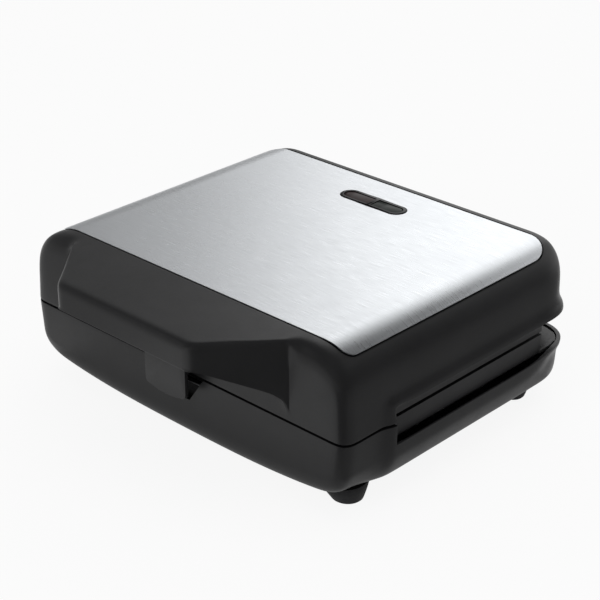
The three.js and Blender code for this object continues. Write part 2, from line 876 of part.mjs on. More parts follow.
// The clip's spring, from the skirt's inner face to the clip's leg.
function clipSpring() {
  const start = skirtFront + skirtThickness + fit;
  const end = openingFront - fit - clipLegThickness - fit;
  return rodY(clipSpringRadius, start, end, 0, -(clipRailBottom() + clipSpringRadius + 2 * fit));
}

// A waffle plate as it lies in the base.
function cookingPlate() {
  const flange = wideBlock(plateHalf, plateFront, plateBack, -plateFlangeBottom, -plateFace);
  const tub = wideBlock(tubHalf, tubFront, tubBack, -tubBottom, -plateFace);
  const tabs = [-tabPlace, tabPlace].map((x) =>
    block(
      x - tabHalfWidth,
      x + tabHalfWidth,
      plateBack - fit,
      openingBack + tabReach,
      -plateFlangeBottom,
      -plateFlangeBottom + tabThickness,
    ),
  );
  const notch = wideBlock(
    clipNoseHalf + fit,
    plateFront - overrun,
    openingFront + clipNoseReach,
    -plateFace - clipNoseThickness - 2 * fit,
    overrun,
  );
  const waffleWidth = tubHalf - plateWall - plateDivider / 2;
  const centre = plateDivider / 2 + waffleWidth / 2;
  const depth = tubBack - tubFront - 2 * plateEdge;
  const waffles = [-centre, centre].map((x) => waffleSpace(x, plateMiddle, waffleWidth, depth));
  return cut(joined(flange, tub, ...tabs), notch, ...waffles);
}

// A block with four leaning sides: one size at its foot, another at its top.
function frustum(x, y, footX, footY, topX, topY, z0, z1) {
  const geometry = new THREE.BoxGeometry(1, 1, z1 - z0);
  const place = geometry.attributes.position;
  for (let i = 0; i < place.count; i += 1) {
    const atTop = place.getZ(i) > 0;
    place.setX(i, place.getX(i) * (atTop ? topX : footX));
    place.setY(i, place.getY(i) * (atTop ? topY : footY));
  }
  geometry.translate(x, y, (z0 + z1) / 2);
  return solid(geometry);
}

// The hollow of one waffle: a leaning-sided well, less a grid of pegs.
function waffleSpace(x, y, width, depth) {
  const floor = -plateFace - waffleDepth;
  const well = frustum(
    x,
    y,
    width - 2 * waffleDraft,
    depth - 2 * waffleDraft,
    width,
    depth,
    floor,
    -plateFace,
  );
  const above = block(x - width / 2, x + width / 2, y - depth / 2, y + depth / 2, -plateFace - fit, overrun);
  const pitchX = width / pegColumns;
  const pitchY = depth / pegRows;
  const pegs = [];
  for (let column = 0; column < pegColumns; column += 1) {
    for (let row = 0; row < pegRows; row += 1) {
      const pegX = x + (column - (pegColumns - 1) / 2) * pitchX;
      const pegY = y + (row - (pegRows - 1) / 2) * pitchY;
      pegs.push(frustum(pegX, pegY, pegFoot, pegFoot, pegTop, pegTop, floor - fit, floor + pegHeight));
    }
  }
  return cut(joined(well, above), ...pegs);
}

// The heater's route, seen from above: a wide loop open at the back, whose two tails run backwards.
function elementRoute() {
  const half = tubHalf - elementInset;
  const front = tubFront + elementInset;
  const back = tubBack - elementInset;
  const corners = [
    [-elementTailHalf, tubBack + elementTail],
    [-elementTailHalf, back],
    [-half, back],
    [-half, front],
    [half, front],
    [half, back],
    [elementTailHalf, back],
    [elementTailHalf, tubBack + elementTail],
  ].map(([x, y]) => new THREE.Vector3(x, y, -elementDrop));
  const route = new THREE.CurvePath();
  let from = corners[0];
  for (let i = 1; i < corners.length - 1; i += 1) {
    const corner = corners[i];
    const inDirection = corner.clone().sub(corners[i - 1]).normalize();
    const outDirection = corners[i + 1].clone().sub(corner).normalize();
    const bendStart = corner.clone().addScaledVector(inDirection, -elementBend);
    const bendEnd = corner.clone().addScaledVector(outDirection, elementBend);
    route.add(new THREE.LineCurve3(from, bendStart));
    route.add(new THREE.QuadraticBezierCurve3(bendStart, corner, bendEnd));
    from = bendEnd;
  }
  route.add(new THREE.LineCurve3(from, corners[corners.length - 1]));
  return route;
}

function heatingElement() {
  const circle = new THREE.Shape();
  circle.absarc(0, 0, elementRadius, 0, Math.PI * 2, false);
  const tube = new THREE.ExtrudeGeometry(circle, {
    steps: elementSteps,
    extrudePath: elementRoute(),
    curveSegments: elementSides,
  });
  const end = tubBack + elementTail;
  const pins = [-elementTailHalf, elementTailHalf].map((x) =>
    rodY(elementPinRadius, end - fit, end + elementPinLength, x, -elementDrop),
  );
  return joined(solid(tube), ...pins);
}

// The bright pan under a heater: a dish with a broad rim that lies under the frame's skirt.
function reflector() {
  const rimHalf = skirtHalf - panRimOverlap;
  const rimFront = skirtFront + panRimOverlap;
  const rimBack = skirtBack - panRimOverlap;
  const dishHalf = tubHalf - panInset;
  const dishFront = tubFront + panInset / 2;
  const dishBack = tubBack - panInset / 2;
  const rim = wideBlock(rimHalf, rimFront, rimBack, -panTop - panWall, -panTop);
  const dish = wideBlock(dishHalf, dishFront, dishBack, -panBottom, -panTop);
  const space = wideBlock(
    dishHalf - panWall,
    dishFront + panWall,
    dishBack - panWall,
    -panBottom + panWall,
    overrun,
  );
  const tails = wideBlock(
    elementTailHalf + 2 * elementRadius,
    dishBack - 2 * panWall,
    bodyDepth,
    -elementDrop - elementRadius - fit,
    overrun,
  );
  const posts = [-screwPlace, screwPlace].map((x) =>
    rodZ(bossRadius + 2 * fit, -panBottom, 0, x, screwFront),
  );
  const clipSpace = wideBlock(clipNoseHalf + fit, rimFront - fit, openingFront, -panBottom, 0);
  return cut(joined(rim, dish), space, tails, ...posts, clipSpace);
}

// One of the two saddles that hold a heater in its pan.
function elementCradle(x) {
  const top = -elementDrop;
  const body = block(
    x - cradleHalfWidth,
    x + cradleHalfWidth,
    plateMiddle - cradleHalfLength,
    plateMiddle + cradleHalfLength,
    -panBottom + panWall + fit,
    top,
  );
  const groove = rodY(
    elementRadius + fit,
    plateMiddle - cradleHalfLength - fit,
    plateMiddle + cradleHalfLength + fit,
    x,
    -elementDrop,
  );
  return cut(body, groove);
}

// A screw standing head down on z = 0, its shank rising.
function screw() {
  const head = rodZ(screwHead, 0, screwHeadHeight, 0, 0);
  const slot = block(-screwHead, screwHead, -screwShank / 4, screwShank / 4, -fit, screwHeadHeight / 2);
  const shank = rodZ(screwShank, screwHeadHeight - fit, screwHeadHeight + screwLength, 0, 0);
  return joined(cut(head, slot), shank);
}

function thermostat() {
  const top = -panBottom - fit;
  const can = rodZ(thermostatRadius, top - thermostatHeight, top, 0, plateMiddle);
  const ears = block(
    -thermostatEarHalf,
    thermostatEarHalf,
    plateMiddle - thermostatRadius / 3,
    plateMiddle + thermostatRadius / 3,
    top - thermostatEarThickness,
    top,
  );
  return joined(can, ears);
}

// A thermal fuse in its strap, under a pan.
function thermalFuse() {
  const top = -panBottom - fit;
  const z = top - fuseRadius;
  const body = rodX(fuseRadius, fusePlace, fusePlace + fuseLength, plateMiddle, z);
  const middle = fusePlace + fuseLength / 2;
  const strap = block(
    middle - fuseStrapHalf,
    middle + fuseStrapHalf,
    plateMiddle - 2 * fuseRadius,
    plateMiddle + 2 * fuseRadius,
    top - fuseRadius,
    top,
  );
  return joined(body, strap);
}

function terminalBlock() {
  const back = bodyDepth - wall - blockBackGap;
  const low = -baseDepthBelowSeam + wall + 2 * fit;
  const body = wideBlock(blockHalfWidth, back - blockDepth, back, low, low + blockHeight);
  const pitch = (2 * blockHalfWidth) / blockTowers;
  const towers = [];
  for (let i = 0; i < blockTowers; i += 1) {
    const x = (i - (blockTowers - 1) / 2) * pitch;
    const y = back - blockDepth / 2;
    const top = low + blockHeight + blockTowerHeight;
    towers.push(cut(
      rodZ(blockTowerRadius, low + blockHeight - fit, top, x, y),
      rodZ(blockTowerRadius / 2, low + blockHeight, top + fit, x, y),
    ));
  }
  return joined(body, ...towers);
}

// The bush in the back wall that the mains lead comes out of.
function cordGland() {
  const outside = bodyDepth + fit;
  const inside = bodyDepth - wall - fit;
  const points = [
    [glandBore, 0],
    [glandFlange, 0],
    [glandFlange, glandFlangeThickness],
    [glandNeck, glandFlangeThickness],
    [glandNeck, glandFlangeThickness + outside - inside],
    [glandFlange, glandFlangeThickness + outside - inside],
    [glandFlange, glandFlangeThickness * 2 + outside - inside],
    [glandBore, glandFlangeThickness * 2 + outside - inside],
    [glandBore, 0],
  ].map(([r, z]) => new THREE.Vector2(r, z));
  const geometry = geometryOf(turned(points));
  geometry.rotateX(-Math.PI / 2);
  geometry.translate(glandPlace, inside - glandFlangeThickness, -glandDrop);
  return solid(geometry);
}

// A round foot that fills the space between the floor and the base's sagging underside.
function foot(x, y) {
  const floor = -seamHeight;
  const profile = [
    [0, 0],
    [footBottomRadius - footBottomRound, 0],
    [footBottomRadius, footBottomRound],
    [footTopRadius, footHeight],
    [0, footHeight],
  ].map(([r, z]) => new THREE.Vector2(r, z));
  const geometry = geometryOf(turned(profile));
  geometry.translate(x, y, floor);
  return cut(solid(geometry), baseForm(-fit, 0));
}

// Hinge knuckles on a frame's deck: a disc round the hinge line and a web down to the deck.
function knuckle(x0, x1, level, radius, frontReach, backReach) {
  const disc = rodX(radius, x0, x1, hingeY, level);
  const web = block(x0, x1, hingeY - frontReach, hingeY + backReach, -deckBottom, level);
  return joined(disc, web);
}

function hingeSpans() {
  const lugHalf = lugThickness / 2;
  const earStart = lugHalf + fit;
  return { lugHalf, earStart, earEnd: earStart + earThickness };
}

function hingeHole(level) {
  return rodX(hingePinRadius + fit, -bodyWidth, bodyWidth, hingeY, level);
}

// Screw posts under a frame, each with a blind hole from below.
function blindPosts(faces) {
  const posts = faces.map(([x, y, face]) => rodZ(postRadius, -basePostEnd, -face - fit, x, y));
  const holes = faces.map(([x, y]) =>
    rodZ(screwShank + fit, -basePostEnd - overrun, baseScrewSeat() + screwLength + 2 * fit, x, y),
  );
  return { posts, holes };
}

// Screw posts over a frame, each with a sunk head and a clear way through.
function openPosts(faces) {
  const posts = faces.map(([x, y, face]) => rodZ(postRadius, -face - lidPostLength, -face - fit, x, y));
  const holes = faces.flatMap(([x, y, face]) => [
    rodZ(screwShank + fit, -face - overrun, overrun, x, y),
    rodZ(screwHead + fit, -face - screwSink, overrun, x, y),
  ]);
  return { posts, holes };
}

function postFaces() {
  return bossPlaces().map(([x, y, back]) => [x, y, back ? deckDrop : frameFace]);
}

function lowerFrame() {
  const deckHalf = halfWidth + lipReach - rimThickness - deckGap;
  const deckBack = bodyDepth + lipReach - rimThickness - deckGap;
  const frame = innerFrame(deckHalf, deckBack);
  const { posts, holes } = blindPosts(postFaces());
  const { earStart, earEnd } = hingeSpans();
  const ears = [-hingePlace, hingePlace].flatMap((x) => [
    knuckle(x - earEnd, x - earStart, hingeRise, earRadius, earFrontReach, earBackReach),
    knuckle(x + earStart, x + earEnd, hingeRise, earRadius, earFrontReach, earBackReach),
  ]);
  const pocketSpace = wideBlock(
    pocketTopHalf + pocketWall + fit,
    0,
    pocketDepth + pocketWall + fit,
    -deckBottom - fit,
    overrun,
  );
  return cut(joined(frame, ...posts, ...ears), ...holes, hingeHole(hingeRise), pocketSpace);
}

// The upper frame, drawn like the lower one: it is turned over in the lid.
function upperFrame() {
  const deckHalf = halfWidth - wall - deckGap;
  const deckBack = bodyDepth - wall - deckGap / 2;
  const frame = innerFrame(deckHalf, deckBack);
  const { posts, holes } = openPosts(postFaces());
  const { lugHalf } = hingeSpans();
  const lugs = [-hingePlace, hingePlace].map((x) =>
    knuckle(x - lugHalf, x + lugHalf, -hingeRise, earRadius - fit, earFrontReach, 0),
  );
  return cut(joined(frame, ...posts, ...lugs), ...holes, hingeHole(-hingeRise));
}

function hingePin(x) {
  const { earEnd } = hingeSpans();
  return rodX(hingePinRadius, x - earEnd - fit, x + earEnd + fit, hingeY, hingeRise);
}

// Pilot light window
function bezelTop() {
  return lidHeight + bezelProud;
}

function lensShape(side, margin) {
  const x0 = lensDivider / 2 - margin;
  const x1 = windowLength / 2 - lensEndMargin + margin;
  const half = lensWidth / 2 + margin;
  const round = half / 2;
  const shape = new THREE.Shape();
  shape.moveTo(side * x0, windowBack - half);
  shape.lineTo(side * (x1 - round), windowBack - half);
  shape.quadraticCurveTo(side * x1, windowBack - half, side * x1, windowBack - half + round);
  shape.lineTo(side * x1, windowBack + half - round);
  shape.quadraticCurveTo(side * x1, windowBack + half, side * (x1 - round), windowBack + half);
  shape.lineTo(side * x0, windowBack + half);
  return shape;
}

function bezel() {
  const top = bezelTop();
  const body = raised(
    stadium(windowLength - 2 * fit, windowWidth - 2 * fit),
    ceiling - bezelFlangeThickness - fit,
    top,
  );
  const flange = raised(
    stadium(windowLength + 2 * bezelFlange, windowWidth + 2 * bezelFlange),
    ceiling - bezelFlangeThickness - fit,
    ceiling - fit,
  );
  const openings = [-1, 1].map((side) => raised(lensShape(side, fit), 0, top + overrun));
  return cut(joined(body, flange), ...openings);
}

function lens(side) {
  const top = bezelTop() - bezelProud;
  return raised(lensShape(side, 0), top - lensDepth, top);
}

function lampPlace(side) {
  return (side * (windowLength / 2 - lensEndMargin + lensDivider / 2)) / 2;
}

function lamp(side) {
  const top = bezelTop() - bezelProud - lensDepth - 2 * fit;
  return rodZ(lampRadius, top - lampLength, top, lampPlace(side), windowBack);
}

// A channel that stands under the bezel and carries both lamps.
function lampHolder() {
  const lampBottom = bezelTop() - bezelProud - lensDepth - 2 * fit - lampLength;
  const top = lampBottom - fit;
  const half = windowLength / 2 + bezelFlange;
  const y0 = windowBack - lampHolderWidth / 2;
  const y1 = windowBack + lampHolderWidth / 2;
  const floor = wideBlock(half, y0, y1, top - lampHolderThickness, top);
  const legs = [-1, 1].map((side) => {
    const x0 = Math.min(side * half, side * (half - lampHolderThickness));
    const legTop = ceiling - bezelFlangeThickness - 2 * fit;
    return block(x0, x0 + lampHolderThickness, y0, y1, top - fit, legTop);
  });
  return joined(floor, ...legs);
}

// The heated half that base and lid share, drawn as it lies in the base.
function heatedHalf(prefix, frame) {
  const cradleX = tubHalf - elementInset;
  const group = new THREE.Group();
  group.add(
    named(`${prefix}_inner_frame`, frame, satinBlack),
    named(`${prefix}_cooking_plate`, cookingPlate(), nonStick),
    named(`${prefix}_plate_clip`, plateClip(), deepBlack),
    named(`${prefix}_clip_spring`, clipSpring(), plainSteel),
    named(`${prefix}_heating_element`, heatingElement(), plainSteel),
    named(`${prefix}_reflector`, reflector(), brightAluminium),
    named(`${prefix}_element_cradle_a`, elementCradle(-cradleX), plainSteel),
    named(`${prefix}_element_cradle_b`, elementCradle(cradleX), plainSteel),
    named(`${prefix}_thermal_fuse`, thermalFuse(), paleCeramic),
  );
  return group;
}

function screws(prefix, turnedOver) {
  const group = new THREE.Group();
  bossPlaces().forEach(([x, y, back], i) => {
    const mesh = named(`${prefix}_frame_screw_${i + 1}`, screw(), plainSteel);
    const seat = (back ? deckDrop : frameFace) + screwSink - screwHeadHeight - fit;
    mesh.position.set(x, y, turnedOver ? seat : baseScrewSeat() - screwHeadHeight - fit);
    group.add(mesh);
  });
  return group;
}

function baseGroup() {
  const group = new THREE.Group();
  group.add(named("base_shell", baseShell(), satinBlack));
  group.add(heatedHalf("lower", lowerFrame()));
  group.add(screws("base", false));
  group.add(
    named("catch_bar", catchBar(), plainSteel),
    named("hinge_pin_left", hingePin(-hingePlace), plainSteel),
    named("hinge_pin_right", hingePin(hingePlace), plainSteel),
    named("thermostat", thermostat(), brightAluminium),
    named("terminal_block", terminalBlock(), paleCeramic),
    named("cord_gland", cordGland(), deepBlack),
  );
  const feet = { front: footFront, rear: bodyDepth - footBackMargin };
  const sides = { left: -footPlace, right: footPlace };
  for (const [end, y] of Object.entries(feet)) {
    for (const [side, x] of Object.entries(sides)) {
      group.add(named(`foot_${end}_${side}`, foot(x, y), softRubber));
    }
  }
  return group;
}

function lidGroup() {
  const group = new THREE.Group();
  group.add(
    named("lid_shell", lidShell(), satinBlack),
    named("top_panel", topPanel(), brushedSteel),
    named("pilot_bezel", bezel(), deepBlack),
    named("power_lens", lens(-1), redLens),
    named("ready_lens", lens(1), greenLens),
    named("power_lamp", lamp(-1), redLens),
    named("ready_lamp", lamp(1), greenLens),
    named("lamp_holder", lampHolder(), paleCeramic),
    named("latch_pin", latchPin(latchPinRadius, 0), plainSteel),
    named("latch_spring", latchSpring(), plainSteel),
    named("latch_flap", latchFlap(), satinBlack),
  );
  const heated = heatedHalf("upper", upperFrame());
  heated.rotation.y = Math.PI;
  group.add(heated, screws("lid", true));
  return group;
}

const part = new THREE.Group();
const housing = new THREE.Group();
housing.add(baseGroup(), lidGroup());
housing.position.set(0, (handleReach - bodyDepth - lipReach) / 2, seamHeight);
part.add(housing);

export default part;
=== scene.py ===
"""Dresses a sandwich and waffle maker: smooth moulded shells, brushed top, coated plates, fine finishes.

Sizes are millimetres in the housing's own frame: X to the right, Y from the front wall backwards and
Z up from the seam. made() turns a finished mesh into the frame's metres.
"""

import logging
import math
from dataclasses import dataclass
from enum import Enum
from typing import Callable, Iterable, Sequence

import bmesh
import bpy
from bmesh.types import BMesh, BMFace, BMVert
from bpy.types import Material, MeshPolygon, Node, NodeSocket, Object, World
from mathutils import Matrix, Vector


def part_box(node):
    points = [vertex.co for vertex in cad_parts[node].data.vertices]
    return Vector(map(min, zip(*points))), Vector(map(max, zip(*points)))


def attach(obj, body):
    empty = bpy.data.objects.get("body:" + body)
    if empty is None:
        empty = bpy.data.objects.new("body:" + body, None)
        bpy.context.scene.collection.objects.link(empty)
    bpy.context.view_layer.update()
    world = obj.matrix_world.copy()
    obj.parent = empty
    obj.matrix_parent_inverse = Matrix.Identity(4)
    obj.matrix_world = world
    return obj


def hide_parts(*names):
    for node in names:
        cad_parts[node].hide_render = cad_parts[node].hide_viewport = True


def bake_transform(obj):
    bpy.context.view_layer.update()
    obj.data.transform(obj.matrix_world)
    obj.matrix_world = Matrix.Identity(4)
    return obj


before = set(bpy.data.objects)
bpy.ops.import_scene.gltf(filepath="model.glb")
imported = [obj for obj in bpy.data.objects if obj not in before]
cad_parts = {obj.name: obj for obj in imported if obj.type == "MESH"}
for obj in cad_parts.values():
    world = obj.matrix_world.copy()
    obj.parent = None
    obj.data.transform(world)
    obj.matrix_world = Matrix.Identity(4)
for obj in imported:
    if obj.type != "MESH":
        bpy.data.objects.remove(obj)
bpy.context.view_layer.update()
LOG = logging.getLogger("sandwich_maker")

MM = 0.001
BODY_WIDTH = 255.0
BODY_DEPTH = 203.0
LID_HEIGHT = 49.2
BASE_LIP_REACH = 3.0
SEAM = 0.68
GAP_FRONT = 38.0
FRONT_RADIUS = 7.0
BACK_RADIUS = 22.0
HALF_WIDTH = BODY_WIDTH / 2
NEAR = 0.01
MERGED = 0.002
SEAM_ROOM = 0.1
EDGE_ROOM = 1.0
SUBDIVISIONS = 2
FLAT_ANGLE = 1.0
SHARP_ANGLE = 30.0
CREASE_ANGLE = 60.0
SEAM_CREASE = 0.9
WHITE = (1, 1, 1, 1)
BASE_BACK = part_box("base_shell")[1].y
LID_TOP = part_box("lid_shell")[1].z
ORIGIN = Vector((0.0, BASE_BACK - (BODY_DEPTH + BASE_LIP_REACH) * MM, LID_TOP - LID_HEIGHT * MM))
INTO_FRAME = Matrix.Translation(ORIGIN) @ Matrix.Scale(MM, 4)
INTO_HOUSING = Matrix.Scale(1 / MM, 4) @ Matrix.Translation(-ORIGIN)
Point = tuple[float, float]
Numbers = Sequence[float]


def housing(point: Vector) -> Vector:
    """Turns a place in the frame's metres into the housing's own millimetres."""
    return (point - ORIGIN) / MM


def arc_drop(distance: float, reach: float, height: float) -> float:
    """Gives how far an edge that is round over a reach has fallen at a distance from its end."""
    share = max(reach - distance, 0.0) / reach
    return height * (1 - math.sqrt(max(1 - share * share, 0.0)))


def smooth_step(value: float) -> float:
    """Gives a soft step from nought to one."""
    share = min(max(value, 0.0), 1.0)
    return share * share * (3 - 2 * share)


def bezier(ends: Sequence[Point], share: float) -> Point:
    """Gives the point at a share of a cubic curve with four guiding points."""
    weights = ((1 - share) ** 3, 3 * (1 - share) ** 2 * share, 3 * (1 - share) * share**2, share**3)
    return tuple(sum(w * p[i] for w, p in zip(weights, ends)) for i in range(2))


def level_at(table: Sequence[Point], value: float) -> float:
    """Reads a table of rising pairs by straight lines between them.

    Args:
        table: The pairs.
        value: Where to read it.

    Returns:
        The second number there.
    """
    for (a, low), (b, high) in zip(table, table[1:]):
        if value <= b:
            return low + (high - low) * (value - a) / (b - a)
    return table[-1][1]


class Slot(Enum):
    """Names of the record's material slots."""

    SATIN = "black_plastic"
    DEEP = "dark_plastic"
    STEEL = "brushed_panel"
    COATING = "nonstick"
    FITTING = "small_steel"
    RED = "red_lens"
    GREEN = "green_lens"
    RUBBER = "foot_rubber"


class Body(Enum):
    """The rigid bodies that pieces ride on."""

    BASE = "base"
    LID = "lid"
    LATCH = "latch"
    LOWER_CLIP = "lower_clip"
    UPPER_CLIP = "upper_clip"


def linked(name: str, data: object) -> Object:
    """Adds an object to the scene.

    Args:
        name: Its name.
        data: Its mesh, lamp or camera.

    Returns:
        The object.
    """
    piece = bpy.data.objects.new(name, data)
    bpy.context.scene.collection.objects.link(piece)
    return piece


def placed(name: str, bm: BMesh) -> Object:
    """Makes an object of a bmesh in metres, and frees the bmesh.

    Args:
        name: The object's name.
        bm: Its mesh.

    Returns:
        The object.
    """
    mesh = bpy.data.meshes.new(name)
    bm.to_mesh(mesh)
    bm.free()
    return linked(name, mesh)


def made(name: str, bm: BMesh) -> Object:
    """Makes an object of a bmesh in housing millimetres."""
    bmesh.ops.transform(bm, matrix=INTO_FRAME, verts=bm.verts)
    return placed(name, bm)


def opened(piece: Object) -> BMesh:
    """Gives a piece's mesh in housing millimetres.

    Args:
        piece: Any mesh object at the origin.

    Returns:
        A bmesh to work on.
    """
    bm = bmesh.new()
    bm.from_mesh(piece.data)
    bmesh.ops.transform(bm, matrix=INTO_HOUSING, verts=bm.verts)
    return bm


def reworked(piece: Object, *changes: Callable[[BMesh], None]) -> Object:
    """Changes a piece's mesh in housing millimetres.

    Args:
        piece: The piece.
        changes: What works on the mesh, in order.

    Returns:
        The same piece.
    """
    bm = opened(piece)
    for change in changes:
        change(bm)
    bmesh.ops.transform(bm, matrix=INTO_FRAME, verts=bm.verts)
    bm.to_mesh(piece.data)
    bm.free()
    return piece


def settled(piece: Object) -> Object:
    """Makes a piece's modifiers part of its mesh.

    Args:
        piece: The piece.

    Returns:
        The same piece.
    """
    graph = bpy.context.evaluated_depsgraph_get()
    graph.update()
    solid = bpy.data.meshes.new_from_object(piece.evaluated_get(graph), depsgraph=graph)
    piece.modifiers.clear()
    piece.data = solid
    return piece


def smoothed(piece: Object) -> Object:
    """Rounds a cage by subdivision.

    Args:
        piece: The cage.

    Returns:
        The same piece.
    """
    soft = piece.modifiers.new("soft", "SUBSURF")
    soft.levels = soft.render_levels = SUBDIVISIONS
    return settled(piece)


def combined(piece: Object, tool: Object, operation: str) -> Object:
    """Cuts a piece with a tool or joins them, and removes the tool.

    Args:
        piece: The piece that stays.
        tool: The other solid.
        operation: DIFFERENCE or UNION.

    Returns:
        The piece.
    """
    step = piece.modifiers.new("step", "BOOLEAN")
    step.operation = operation
    step.object = tool
    step.solver = "MANIFOLD"
    settled(piece)
    spare = tool.data
    bpy.data.objects.remove(tool)
    bpy.data.meshes.remove(spare)
    return piece


def shaded(piece: Object, angle: float = 32.0) -> Object:
    """Shades a piece smoothly except across sharp edges.

    Args:
        piece: The piece.
        angle: Degrees from which an edge counts as sharp.

    Returns:
        The same piece.
    """
    bm = bmesh.new()
    bm.from_mesh(piece.data)
    for face in bm.faces:
        face.smooth = True
    for edge in bm.edges:
        edge.smooth = len(edge.link_faces) == 2 and edge.calc_face_angle(0.0) < math.radians(angle)
    bm.to_mesh(piece.data)
    bm.free()
    return piece


def bevelled(bm: BMesh, parts: Iterable, offset: float, segments: int = 2, affect: str = "EDGES") -> None:
    """Rounds some edges or corners of a bmesh.

    Args:
        bm: The mesh.
        parts: The edges or corners.
        offset: How far the rounding reaches, in the mesh's unit.
        segments: Its steps.
        affect: EDGES or VERTICES.
    """
    shape = {"offset_type": "OFFSET", "profile": 0.5, "clamp_overlap": True, "material": -1}
    bmesh.ops.bevel(bm, geom=list(parts), offset=offset, segments=segments, affect=affect, **shape)


def rounded_top(bm: BMesh, top: float, offset: float, segments: int) -> None:
    """Rounds the edges that lie on a solid's top."""
    rim = [e for e in bm.edges if all(v.co.z > top - NEAR for v in e.verts)]
    bevelled(bm, rim, offset, segments)


def raised(bm: BMesh, high: float) -> BMesh:
    """Turns a flat outline into a solid.

    Args:
        bm: The outline.
        high: The level of the solid's upper side.

    Returns:
        The same mesh.
    """
    grown = bmesh.ops.extrude_face_region(bm, geom=list(bm.faces))["geom"]
    for vert in (v for v in grown if isinstance(v, BMVert)):
        vert.co.z = high
    bmesh.ops.recalc_face_normals(bm, faces=bm.faces)
    return bm


def split(bm: BMesh, x: float, facing: int = 1, clear: bool = False) -> None:
    """Cuts a mesh at a place across, and may clear what lies beyond on the side that it faces."""
    every, cut_at = [*bm.verts, *bm.edges, *bm.faces], (x, 0, 0)
    bmesh.ops.bisect_plane(bm, geom=every, plane_co=cut_at, plane_no=(facing, 0, 0), clear_outer=clear)


def filled(bm: BMesh) -> None:
    """Closes a mesh's openings and turns its faces outwards."""
    bmesh.ops.holes_fill(bm, edges=[e for e in bm.edges if len(e.link_faces) == 1])
    bmesh.ops.recalc_face_normals(bm, faces=bm.faces)


def sharp_edges(bm: BMesh, angle: float) -> list:
    """Finds the edges where two faces meet at more than an angle in degrees."""
    least = math.radians(angle)
    return [e for e in bm.edges if len(e.link_faces) == 2 and e.calc_face_angle(0.0) > least]


def softened(node: str, offset: float, segments: int = 2) -> Object:
    """Makes a copy of a CAD node with its edges rounded.

    Args:
        node: The node's name.
        offset: Millimetres that the rounding reaches.
        segments: Its steps.

    Returns:
        The new piece, which stands for the node.
    """
    bm = opened(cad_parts[node])
    bmesh.ops.remove_doubles(bm, verts=bm.verts, dist=MERGED)
    flat = {"angle_limit": math.radians(FLAT_ANGLE), "use_dissolve_boundaries": False}
    bmesh.ops.dissolve_limit(bm, verts=bm.verts, edges=bm.edges, **flat)
    bevelled(bm, sharp_edges(bm, SHARP_ANGLE), offset, segments)
    piece = made(f"{node}_dressed", bm)
    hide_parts(node)
    return shaded(piece)


def block(bm: BMesh, low: Numbers, high: Numbers) -> list:
    """Adds a block between two corners.

    Args:
        bm: The mesh to add to.
        low: Its lowest corner.
        high: Its highest corner.

    Returns:
        Its vertices.
    """
    corner, far = Vector(low), Vector(high)
    sized = Matrix.Translation((corner + far) / 2) @ Matrix.Diagonal((*(far - corner), 1))
    return bmesh.ops.create_cube(bm, size=1, matrix=sized)["verts"]


def rod(bm: BMesh, radius: float, low: Vector, high: Vector, steps: int = 32) -> None:
    """Adds a round rod between two points.

    Args:
        bm: The mesh to add to.
        radius: Its radius.
        low: The middle of one end.
        high: The middle of the other.
        steps: Facets round it.
    """
    along = high - low
    turned = Matrix.Translation((low + high) / 2) @ along.to_track_quat("Z", "Y").to_matrix().to_4x4()
    radii = {"radius1": radius, "radius2": radius}
    bmesh.ops.create_cone(bm, cap_ends=True, segments=steps, depth=along.length, matrix=turned, **radii)


def creases(bm: BMesh) -> object:
    """Gives the layer that says how sharp each edge stays under subdivision, from nought to one."""
    return bm.edges.layers.float.get("crease_edge") or bm.edges.layers.float.new("crease_edge")


def presented(piece: Object, material: Material, body: Body) -> Object:
    """Gives a finished piece its material and the body it rides on.

    Args:
        piece: The piece.
        material: Its finish.
        body: What carries it.

    Returns:
        The same piece.
    """
    piece.data.materials.clear()
    piece.data.materials.append(material)
    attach(piece, body.value)
    LOG.info("%s: %d faces", piece.name, len(piece.data.polygons))
    return piece


def blackened(piece: Object, material: Material, chosen: Callable[[MeshPolygon], bool]) -> None:
    """Gives some faces of a piece painted shade, a near-black material where the gaps between parts lie in
    shade.

    Args:
        piece: The piece.
        material: The painted shade's material.
        chosen: Tells whether a face gets it.
    """
    piece.data.materials.append(material)
    for polygon in piece.data.polygons:
        if chosen(polygon):
            polygon.material_index = 1


def at_seam(polygon: MeshPolygon) -> bool:
    """Tells whether a moulding's face lies at the seam, where painted shade goes."""
    return abs(housing(polygon.center).z) < SEAM + SEAM_ROOM


def dress_node(name: str, material: Material) -> None:
    """Gives a CAD node its finish.

    Args:
        name: The node.
        material: Its finish.
    """
    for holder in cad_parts[name].material_slots:
        holder.material = material
    LOG.info("%s keeps its solid's shape", name)


